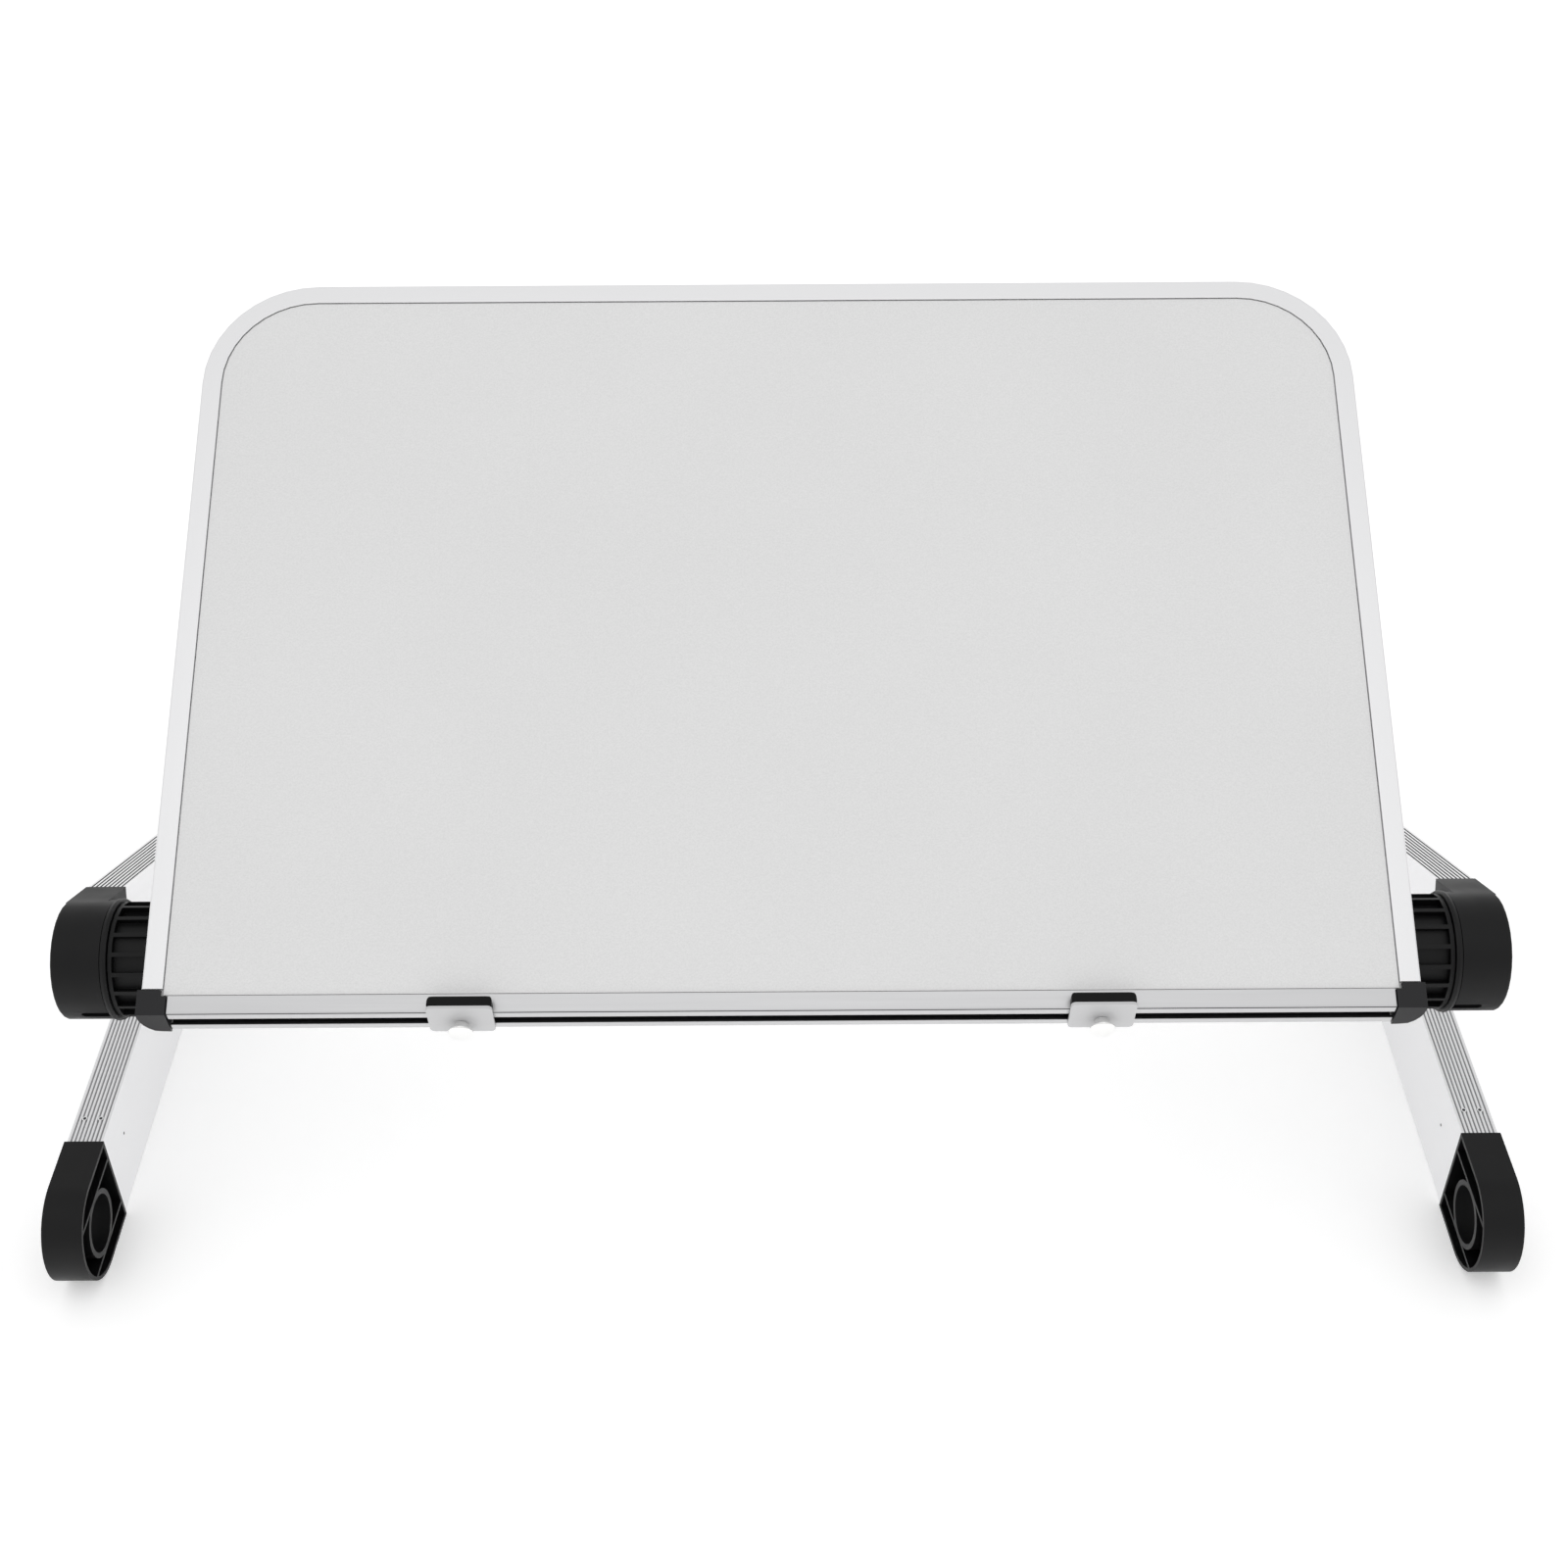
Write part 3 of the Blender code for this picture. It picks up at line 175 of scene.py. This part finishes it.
# %% Melamine laminate
def melamine_laminate():
    material, tree, shader = start_material("melamine_laminate_light_grey", "#E6E6E6", 0.0, 0.42)
    shader.inputs["IOR"].default_value = 1.5
    place = along(tree)
    speckle = add_node(tree, "ShaderNodeTexNoise", {"Scale": 1.6, "Detail": 2.0, "Roughness": 0.7},
                       {"Vector": place})
    cloud = add_node(tree, "ShaderNodeTexNoise", {"Scale": 0.012, "Detail": 3.0, "Roughness": 0.5},
                     {"Vector": place})
    fine = add_node(tree, "ShaderNodeMix", {"data_type": "RGBA", 6: linear("#E1E1E1"), 7: linear("#EBEBEB")},
                    {0: between(tree, speckle.outputs["Fac"], 0.0, 1.0)})
    tint = add_node(tree, "ShaderNodeMix", {"data_type": "RGBA", "blend_type": "MULTIPLY", 0: 1.0},
                    {6: fine.outputs[2]})
    grey = {channel: between(tree, cloud.outputs["Fac"], 0.98, 1.0) for channel in ("Red", "Green", "Blue")}
    shade = add_node(tree, "ShaderNodeCombineColor", None, grey)
    tree.links.new(shade.outputs["Color"], tint.inputs[7])
    specks = add_node(tree, "ShaderNodeTexVoronoi", {"Scale": 0.011}, {"Vector": place})
    clear = add_node(tree, "ShaderNodeMapRange", {"From Min": 0.003, "From Max": 0.006},
                     {"Value": specks.outputs["Distance"]})
    marked = add_node(tree, "ShaderNodeMix", {"data_type": "RGBA", 6: linear("#8E8E8E")},
                      {0: clear.outputs["Result"], 7: tint.outputs[2]})
    tree.links.new(marked.outputs[2], shader.inputs["Base Color"])
    tree.links.new(between(tree, speckle.outputs["Fac"], 0.38, 0.48), shader.inputs["Roughness"])
    bump = add_node(tree, "ShaderNodeBump", {"Strength": 0.12, "Distance": 0.00005},
                    {"Height": speckle.outputs["Fac"]})
    tree.links.new(bump.outputs["Normal"], shader.inputs["Normal"])
    return material


LAMINATE = melamine_laminate()
print("made", LAMINATE.name)

# %% [markdown]
# ## The aluminium
#
# Rails and leg sections are extruded aluminium, etched matt and anodised clear. Extruding leaves faint
# lines along the section, and the etch makes the reflection wide and soft. So the metal is bright and
# rather rough, and a noise stretched fifty times or more along the section moves its roughness and height a
# little. The edge rail is bent round its corners, so its noise runs no particular way. A metal keeps the
# shader's default IOR, because its colour sets what it reflects. Narrow grooves lie in shade, so the same
# metal is painted dark grey there as painted shade, and paler where a groove is shallow.

# %% Clear anodised aluminium
def anodised_aluminium(name, hex_colour, roughness, turn, stretch):
    material, tree, shader = start_material(name, hex_colour, 1.0, roughness)
    lines = add_node(tree, "ShaderNodeTexNoise", {"Scale": 1.0, "Detail": 3.0, "Roughness": 0.6},
                     {"Vector": along(tree, turn, stretch)})
    etch = add_node(tree, "ShaderNodeTexNoise", {"Scale": 4.0, "Detail": 2.0, "Roughness": 0.6},
                    {"Vector": along(tree)})
    both = add_node(tree, "ShaderNodeMath", {"operation": "MULTIPLY_ADD", 1: 0.6},
                    {0: lines.outputs["Fac"], 2: etch.outputs["Fac"]})
    varied = between(tree, lines.outputs["Fac"], roughness - 0.04, roughness + 0.04)
    tree.links.new(varied, shader.inputs["Roughness"])
    bump = add_node(tree, "ShaderNodeBump", {"Strength": 0.10, "Distance": 0.00003},
                    {"Height": both.outputs[0]})
    tree.links.new(bump.outputs["Normal"], shader.inputs["Normal"])
    return material


LINES_ALONG_X = (0.02, 1.5, 1.5)
LINES_ALONG_Y = (1.5, 0.03, 1.5)
NO_LINES = (1.2, 1.2, 1.2)
COARSE = (0.5, 0.5, 0.5)
# Painted shade: the front rail is the same clear anodised metal, given a greyer colour for the darker look
# its faces have under this light.
SHADED_FRONT_ALUMINIUM = anodised_aluminium("anodised_aluminium_front_rail_painted_shade", "#CECECF", 0.42, 0.0, LINES_ALONG_X)
EDGE_ALUMINIUM = anodised_aluminium("anodised_aluminium_edge_rail", "#EDEDEE", 0.40, -board_tilt, NO_LINES)
UPPER_ALUMINIUM = anodised_aluminium("anodised_aluminium_upper_section", "#EDEDEE", 0.36, leg_slope,
                                     LINES_ALONG_Y)
LOWER_ALUMINIUM = anodised_aluminium("anodised_aluminium_lower_section", "#EDEDEE", 0.36, 0.0, LINES_ALONG_Y)
# Painted shade: this dark grey metal stands in for the shade deep in narrow grooves and punch pits.
PAINTED_SHADE_ALUMINIUM = anodised_aluminium("aluminium_painted_groove_shade", "#4A4A4C", 0.60, 0.0, COARSE)
# Painted shade, paler, for the grooves of the lower leg section.
PALE_PAINTED_SHADE_ALUMINIUM = anodised_aluminium("aluminium_painted_shallow_groove_shade", "#98989A", 0.55, 0.0, COARSE)
print("made", [metal.name for metal in (SHADED_FRONT_ALUMINIUM, EDGE_ALUMINIUM, UPPER_ALUMINIUM, LOWER_ALUMINIUM)])
print("made", [metal.name for metal in (PAINTED_SHADE_ALUMINIUM, PALE_PAINTED_SHADE_ALUMINIUM)])

# %% [markdown]
# ## The black plastics
#
# Hubs, brackets and feet are injection-moulded glass-filled nylon: near black, with the satin skin of a
# spark-eroded mould, so highlights are broad and a fine grain of some 0.3 mm breaks them up. The corner
# caps are a softer polypropylene, greyer and duller. Handling polishes the mould skin unevenly, so the
# roughness drifts slowly too. The pits of the mould skin trap light, so the specular level is set below its
# usual half and the black stays deep.

# %% Moulded nylon and polypropylene
def moulded_plastic(name, hex_colour, ior, roughness, grain_mm, depth_mm, specular=0.5):
    material, tree, shader = start_material(name, hex_colour, 0.0, roughness)
    shader.inputs["IOR"].default_value = ior
    shader.inputs["Specular IOR Level"].default_value = specular
    place = along(tree)
    grain = add_node(tree, "ShaderNodeTexNoise", {"Scale": 1.0 / grain_mm, "Detail": 2.0}, {"Vector": place})
    drift = add_node(tree, "ShaderNodeTexNoise", {"Scale": 0.06, "Detail": 2.0}, {"Vector": place})
    varied = between(tree, drift.outputs["Fac"], roughness - 0.05, roughness + 0.06)
    tree.links.new(varied, shader.inputs["Roughness"])
    bump = add_node(tree, "ShaderNodeBump", {"Strength": 0.25, "Distance": depth_mm / 1000},
                    {"Height": grain.outputs["Fac"]})
    tree.links.new(bump.outputs["Normal"], shader.inputs["Normal"])
    return material


HUB_NYLON = moulded_plastic("moulded_nylon_black", "#0A0A0B", 1.53, 0.46, 0.35, 0.015, 0.22)
BUTTON_NYLON = moulded_plastic("moulded_nylon_button", "#101011", 1.53, 0.42, 0.30, 0.015, 0.25)
CAP_POLYPROPYLENE = moulded_plastic("moulded_polypropylene_dark_grey", "#1C1C1E", 1.49, 0.38, 0.40, 0.02,
                                    0.30)
WASHER_NYLON = moulded_plastic("turned_nylon_natural", "#D8D6CC", 1.53, 0.50, 0.50, 0.02)
PAD_RUBBER = moulded_plastic("moulded_rubber_black", "#0A0A0A", 1.52, 0.50, 0.25, 0.03, 0.15)
PLASTICS = (HUB_NYLON, BUTTON_NYLON, CAP_POLYPROPYLENE, WASHER_NYLON, PAD_RUBBER)
print("made", [plastic.name for plastic in PLASTICS])

# %% [markdown]
# ## Small metal parts
#
# The stop plates are grey powder-coated sheet steel, faintly pebbled. The thumb screws and bracket screws
# are nickel-plated, nearly a mirror. Axle bolts and nuts are zinc-plated, springs are drawn wire, and the
# lock gears are die-cast zinc with a cloudy skin. They are all metals with a slow drift in roughness, so
# one recipe serves them, with the drift's size for each.

# %% Plated, cast and coated metals
def worked_metal(name, hex_colour, metallic, roughness, cloud_mm, depth_mm):
    material, tree, shader = start_material(name, hex_colour, metallic, roughness)
    cloud = add_node(tree, "ShaderNodeTexNoise", {"Scale": 1.0 / cloud_mm, "Detail": 3.0},
                     {"Vector": along(tree)})
    varied = between(tree, cloud.outputs["Fac"], roughness - 0.04, roughness + 0.05)
    tree.links.new(varied, shader.inputs["Roughness"])
    bump = add_node(tree, "ShaderNodeBump", {"Strength": 0.2, "Distance": depth_mm / 1000},
                    {"Height": cloud.outputs["Fac"]})
    tree.links.new(bump.outputs["Normal"], shader.inputs["Normal"])
    return material


STOP_COAT = worked_metal("powder_coated_steel_grey", "#C9C9CA", 0.0, 0.40, 0.6, 0.02)
NICKEL = worked_metal("nickel_plated_steel", "#F4F4F3", 1.0, 0.16, 1.5, 0.003)
ZINC_PLATE = worked_metal("zinc_plated_steel", "#C4C6C8", 1.0, 0.30, 1.2, 0.01)
SPRING_WIRE = worked_metal("drawn_spring_wire", "#B9BABC", 1.0, 0.24, 0.8, 0.005)
CAST_ZINC = worked_metal("die_cast_zinc", "#AFB0B2", 1.0, 0.42, 0.9, 0.02)
print("made", [metal.name for metal in (STOP_COAT, NICKEL, ZINC_PLATE, SPRING_WIRE, CAST_ZINC)])

# %% [markdown]
# ## Softening the edges
#
# No real edge is perfectly sharp: a mould, a die or a deburring wheel leaves a radius, and that radius
# catches a thin line of light. An engineering mesh has none. Each visible piece is therefore copied, its
# triangles merged back to flat faces, and every edge over a chosen angle beveled by a few tenths of a
# millimetre. The copy replaces the node and rides on the same body. A bevel modifier on the node itself
# would be shorter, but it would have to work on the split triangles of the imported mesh.

# %% A helper that finishes one piece
WELD_DISTANCE = 0.00002
FLAT_ANGLE = math.radians(0.8)
SMOOTH_ANGLE = math.radians(40.0)


def finished_copy(node_name, material, round_mm=0.25, sharp_angle=30.0, segments=2):
    """Replace a node by a copy with rounded edges and smooth round faces."""
    source = frame["nodes"][node_name]
    shape = bmesh.new()
    shape.from_mesh(source.data)
    bmesh.ops.remove_doubles(shape, verts=shape.verts, dist=WELD_DISTANCE)
    bmesh.ops.dissolve_limit(shape, angle_limit=FLAT_ANGLE, verts=shape.verts, edges=shape.edges)
    corners = [edge for edge in shape.edges
               if edge.is_manifold and edge.calc_face_angle() > math.radians(sharp_angle)]
    if round_mm:
        bmesh.ops.bevel(shape, geom=corners, offset=round_mm / 1000, offset_type="OFFSET", segments=segments,
                        profile=0.5, affect="EDGES", clamp_overlap=True)
    mesh = bpy.data.meshes.new(node_name + "_finished")
    shape.to_mesh(mesh)
    shape.free()
    mesh.shade_smooth()
    mesh.set_sharp_from_angle(angle=SMOOTH_ANGLE)
    mesh.materials.append(material)
    piece = bpy.data.objects.new(node_name + "_finished", mesh)
    bpy.context.scene.collection.objects.link(piece)
    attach(piece, source["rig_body"])
    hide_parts(node_name)
    weighted = piece.modifiers.new("even_shading", "WEIGHTED_NORMAL")
    weighted.keep_sharp = True
    return piece


SIDES = ("left", "right")
print("sides:", SIDES)

# %% [markdown]
# ## The board
#
# The panel's laminate meets the rails in a hair-fine dark seam, which is the real gap between the pieces,
# so the panel's edges stay nearly sharp. The rails get the quarter-millimetre radius of a deburred
# extrusion.

# %% Panel, rails and corner caps
finished_copy("board_panel", LAMINATE, 0.10)
finished_copy("edge_frame", EDGE_ALUMINIUM, 0.22)
front_rail = finished_copy("front_rail", SHADED_FRONT_ALUMINIUM, 0.15)
for side in SIDES:
    finished_copy(side + "_corner_cap", CAP_POLYPROPYLENE, 0.35)
print("finished the board")

# %% [markdown]
# ## Grooves darkened by painted shade
#
# A surface deep in a narrow groove gets another material than the face around it: a dark grey metal as
# painted shade. A polygon is inside the groove when its centre lies a set distance below the outermost face
# and near the groove's middle. The front rail's slanted face leans 12.8 degrees forward of upright, and the
# nut that slides in its groove marks the middle. A fine dark line is also painted along the top of that
# face, as a painted shadow line at its edge.

# %% Paint shade on what lies below a face
PAINTED_SHADE_SLOT = 1
SAME_FACE = 0.0001
T_GROOVE_DEPTHS_MM = (0.3, 6.0)
T_GROOVE_REACH_MM = 3.2
SHADOW_LINE_MM = 0.45


def darken_below(piece, outward, depths_mm, across, middle, reach_mm, material):
    """Paint shade on polygons at these depths under a face, within reach_mm of a middle point across it."""
    outermost = max(vertex.co.dot(outward) for vertex in piece.data.vertices)
    piece.data.materials.append(material)
    last = len(piece.data.materials) - 1
    count = 0
    for polygon in piece.data.polygons:
        depth = 1000 * (outermost - polygon.center.dot(outward))
        aside = 1000 * abs((polygon.center - middle).dot(across))
        if depths_mm[0] < depth < depths_mm[1] and aside < reach_mm:
            polygon.material_index = last
            count += 1
    print(piece.name, "has", count, "polygons in its grooves")


def dark_line(piece, outward, across, width_mm):
    """Cut a strip along the upper edge of a piece's outermost face, and darken the strip as a painted shadow
    line.
    """
    shape = bmesh.new()
    shape.from_mesh(piece.data)
    outermost = max(vertex.co.dot(outward) for vertex in shape.verts)
    on_face = [vertex for vertex in shape.verts if outermost - vertex.co.dot(outward) < SAME_FACE]
    upper = max(vertex.co.dot(across) for vertex in on_face)
    lower = upper - width_mm / 1000
    everything = list(shape.verts) + list(shape.edges) + list(shape.faces)
    bmesh.ops.bisect_plane(shape, geom=everything, plane_co=across * lower, plane_no=across)
    count = 0
    for face in shape.faces:
        if face.calc_center_median().dot(across) > lower and face.normal.dot(outward) > 0.9:
            face.material_index = PAINTED_SHADE_SLOT
            count += 1
    print(piece.name, "has", count, "polygons in its painted shadow line")
    shape.to_mesh(piece.data)
    shape.free()


rail_lean = math.radians(12.8)
rail_outward = Vector((0.0, -math.cos(rail_lean), -math.sin(rail_lean)))
rail_upward = Vector((0.0, -math.sin(rail_lean), math.cos(rail_lean)))
nut_low, nut_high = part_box("left_stop_nut")
nut_middle = (nut_low + nut_high) / 2
# Painted shade: the inside of the front rail's T-groove gets the dark grey metal.
darken_below(front_rail, rail_outward, T_GROOVE_DEPTHS_MM, rail_upward, nut_middle, T_GROOVE_REACH_MM,
             PAINTED_SHADE_ALUMINIUM)
# Painted shadow: a thin dark strip along the top edge of the rail's slanted face.
dark_line(front_rail, rail_outward, rail_upward, SHADOW_LINE_MM)

# %% [markdown]
# ## The hubs and feet
#
# The two halves of each hub, the thin flange between them and the foot caps are moulded nylon. Moulded
# edges are rounder than machined ones, about 0.4 mm where the part is thick and 0.15 mm on the thin ribs.

# %% Brackets, drums, fittings and feet
for side in SIDES:
    finished_copy(side + "_board_bracket", HUB_NYLON, 0.18)
    finished_copy(side + "_upper_hub_flange", HUB_NYLON, 0.12)
    finished_copy(side + "_upper_leg_drum", HUB_NYLON, 0.30)
    finished_copy(side + "_upper_leg_end_fitting", HUB_NYLON, 0.35)
    finished_copy(side + "_lower_leg_drum", HUB_NYLON, 0.30)
    finished_copy(side + "_foot_cap", HUB_NYLON, 0.20)
    finished_copy(side + "_floor_hub_washer", WASHER_NYLON, 0.08)
    finished_copy(side + "_upper_push_button", BUTTON_NYLON, 0.25)
    finished_copy(side + "_floor_push_button", BUTTON_NYLON, 0.25)
print("finished the hubs and feet")

# %% [markdown]
# ## The leg sections
#
# Each section is a flat aluminium extrusion. Its narrow faces carry eight fine grooves that hide scratches
# and give grip, and its long edges are broken by a small radius. The groove floors get painted shade.

# %% Leg sections
BELOW_GROOVES_MM = 0.55
GROOVED_REACH_MM = 6.2
ALONG_X = Vector((1.0, 0.0, 0.0))
upper_outward = Vector((0.0, math.sin(leg_slope), math.cos(leg_slope)))
lower_outward = Vector((0.0, 0.0, 1.0))
LEG_FINISHES = (("_upper_leg_profile", upper_outward, UPPER_ALUMINIUM, 0.12, PAINTED_SHADE_ALUMINIUM),
                ("_lower_leg_profile", lower_outward, LOWER_ALUMINIUM, 0.30, PALE_PAINTED_SHADE_ALUMINIUM))
for side in SIDES:
    for name, outward, metal, from_mm, dark in LEG_FINISHES:
        section = finished_copy(side + name, metal, 0.08)
        low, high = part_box(side + name)
        for facing in (outward, -outward):
            # Painted shade on the groove floors of both narrow faces.
            darken_below(section, facing, (from_mm, BELOW_GROOVES_MM), ALONG_X, (low + high) / 2,
                         GROOVED_REACH_MM, dark)
print("finished the leg sections")

# %% [markdown]
# ## Staking marks
#
# The foot's tongue is fixed inside the lower section by punching the aluminium into it: two small round
# dimples on the top face, one on the inner side. A punch leaves a pit with a bright raised burr; the pit
# lies in shade, so it is painted dark grey as painted shade. The whole mark is about two millimetres across,
# so it is a tiny dished ring laid on the surface rather than a hole cut in it.

# %% Punch marks near the feet
MARK_STEPS = 20
MARK_PROFILE_MM = ((1.05, -0.02), (0.80, 0.09), (0.62, 0.05), (0.35, -0.01))
ABOVE_SURFACE = 0.00002
TOP_MARK_FROM_END = 0.0112
TOP_MARK_OFFSET = 0.003
SIDE_MARK_FROM_END = 0.0180
SIDE_MARK_HEIGHT = 0.0245


def mark_ring(shape, radius_mm, height_mm):
    """One ring of the mark's vertices, from a radius and a height in millimetres."""
    ring = []
    for step in range(MARK_STEPS):
        angle = 2 * math.pi * step / MARK_STEPS
        place = (radius_mm * math.cos(angle) / 1000, radius_mm * math.sin(angle) / 1000, height_mm / 1000)
        ring.append(shape.verts.new(place))
    return ring


def staking_mark(name, place, outward, body):
    """A raised burr around a pit painted dark as painted shade, facing outward at a place on a body."""
    shape = bmesh.new()
    rings = [mark_ring(shape, radius_mm, height_mm) for radius_mm, height_mm in MARK_PROFILE_MM]
    for outer, inner in zip(rings, rings[1:]):
        for step in range(MARK_STEPS):
            after = (step + 1) % MARK_STEPS
            wall = shape.faces.new((outer[step], outer[after], inner[after], inner[step]))
            # Painted shade: the pit's inner wall and floor get the dark grey metal.
            wall.material_index = PAINTED_SHADE_SLOT if inner is rings[-1] else 0
    pit = shape.faces.new(rings[-1])
    pit.material_index = PAINTED_SHADE_SLOT
    mesh = bpy.data.meshes.new(name)
    shape.to_mesh(mesh)
    shape.free()
    mesh.shade_smooth()
    mesh.materials.append(LOWER_ALUMINIUM)
    mesh.materials.append(PAINTED_SHADE_ALUMINIUM)
    mark = bpy.data.objects.new(name, mesh)
    bpy.context.scene.collection.objects.link(mark)
    mark.location = place
    mark.rotation_euler = Vector(outward).to_track_quat("Z", "Y").to_euler()
    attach(mark, body)


for side in SIDES:
    low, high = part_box(side + "_lower_leg_profile")
    inward = 1.0 if side == "left" else -1.0
    middle = (low.x + high.x) / 2
    inner_face = high.x if side == "left" else low.x
    for label, across in (("a", -TOP_MARK_OFFSET), ("b", TOP_MARK_OFFSET)):
        top_place = (middle + across, low.y + TOP_MARK_FROM_END, high.z + ABOVE_SURFACE)
        staking_mark(side + "_staking_top_" + label, top_place, (0.0, 0.0, 1.0), side + "_lower_leg")
    side_place = (inner_face + inward * ABOVE_SURFACE, low.y + SIDE_MARK_FROM_END, low.z + SIDE_MARK_HEIGHT)
    staking_mark(side + "_staking_side", side_place, (inward, 0.0, 0.0), side + "_lower_leg")
print("punched the staking marks")

# %% [markdown]
# ## The stops and the small hardware
#
# Plate, rubber pad and thumb screw are what the fingers meet, so they get soft edges. The nuts, bolts,
# gears and springs sit inside the hubs and are seen only from the ends, or when the hub is taken apart.
# Pushing a button slides its gear, and the gear presses its spring together towards its fixed end. Each
# spring here only gets its own copy of its mesh and is left at its modelled length.


def squash_spring(spring):
    """Give a lock spring its own copy of its mesh; the spring is not shortened here."""
    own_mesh(spring)


for side in SIDES:
    finished_copy(side + "_stop_plate", STOP_COAT, 0.20)
    finished_copy(side + "_stop_pad", PAD_RUBBER, 0.30)
    finished_copy(side + "_stop_screw", NICKEL, 0.12)
    finished_copy(side + "_stop_nut", CAST_ZINC, 0.15)
    for number in (1, 2, 3):
        finished_copy(side + "_bracket_screw_" + str(number), NICKEL, 0.0)
    for hub in ("upper", "floor"):
        finished_copy(side + "_" + hub + "_lock_gear", CAST_ZINC, 0.15)
        spring = finished_copy(side + "_" + hub + "_lock_spring", SPRING_WIRE, 0.0)
        squash_spring(spring)
        finished_copy(side + "_" + hub + "_axle_bolt", ZINC_PLATE, 0.15)
        finished_copy(side + "_" + hub + "_axle_nut", ZINC_PLATE, 0.20)
print("finished the stops and the hardware")

# %% [markdown]
# ## The studio
#
# A product like this is shot on a sheet of opal acrylic that is lit a little from below, inside a white
# tent, so shadows are faint and metal reflects white almost everywhere. The even surround stands for the
# tent, and one softbox above and in front makes the near ends of the rails brighter than the far ones.

# %% Floor, surround and lights
FLOOR_SIZE = 40.0
FLOOR_GAP = 0.0001


def white_floor():
    shape = bmesh.new()
    bmesh.ops.create_grid(shape, x_segments=1, y_segments=1, size=FLOOR_SIZE)
    mesh = bpy.data.meshes.new("studio_floor")
    shape.to_mesh(mesh)
    shape.free()
    floor = bpy.data.objects.new("studio_floor", mesh)
    bpy.context.scene.collection.objects.link(floor)
    floor.location = (0.0, 0.0, cad_box[0].z - FLOOR_GAP)
    material, tree, shader = start_material("opal_acrylic_table", "#FAFAFA", 0.0, 0.9)
    shader.inputs["Emission Color"].default_value = linear("#FFFFFF")
    shader.inputs["Emission Strength"].default_value = 0.30
    mesh.materials.append(material)


def softbox(name, place, target, size, power):
    light = bpy.data.lights.new(name, "AREA")
    light.shape = "RECTANGLE"
    light.size, light.size_y = size
    light.energy = power
    lamp = bpy.data.objects.new(name, light)
    bpy.context.scene.collection.objects.link(lamp)
    lamp.location = place
    lamp.rotation_euler = (Vector(target) - Vector(place)).to_track_quat("-Z", "Y").to_euler()


white_floor()
softbox("overhead_softbox", (0.0, -0.7, 1.9), (0.0, 0.0, 0.1), (1.6, 1.2), 2.6)
world = bpy.data.worlds.new("studio_surround")
world.use_nodes = True
world.node_tree.nodes["Background"].inputs["Color"].default_value = linear("#FFFFFF")
world.node_tree.nodes["Background"].inputs["Strength"].default_value = 0.82
bpy.context.scene.world = world
bpy.context.scene.view_settings.view_transform = "Standard"

# %% [markdown]
# ## The camera
#
# The view is from the sitting person's side, about half a metre in front of the upper hubs and 0.6 m up,
# looking down at 39 degrees through a normal lens. It leans by a third of a degree, as a hand-set tripod
# does.

# %% Camera
camera = bpy.data.objects.new("camera", bpy.data.cameras.new("camera"))
bpy.context.scene.collection.objects.link(camera)
camera.data.sensor_width = 36.0
camera.data.lens = 46.8
place = Matrix.Translation((0.0007, upper_hub.y - 0.5129, 0.616))
yaw = Matrix.Rotation(math.radians(-0.06), 4, "Z")
pitch = Matrix.Rotation(math.radians(90.0 - 38.95), 4, "X")
roll = Matrix.Rotation(math.radians(-0.31), 4, "Z")
camera.matrix_world = place @ yaw @ pitch @ roll
bpy.context.scene.camera = camera
print("camera at", tuple(round(value, 3) for value in camera.location))

# %% [markdown]
# ## Finish
#
# The finished pieces are meant to fill the same box as the engineering model, whose box is printed at the
# start. The scene is brought up to date once more at the end.

# %% Finish
bpy.context.view_layer.update()
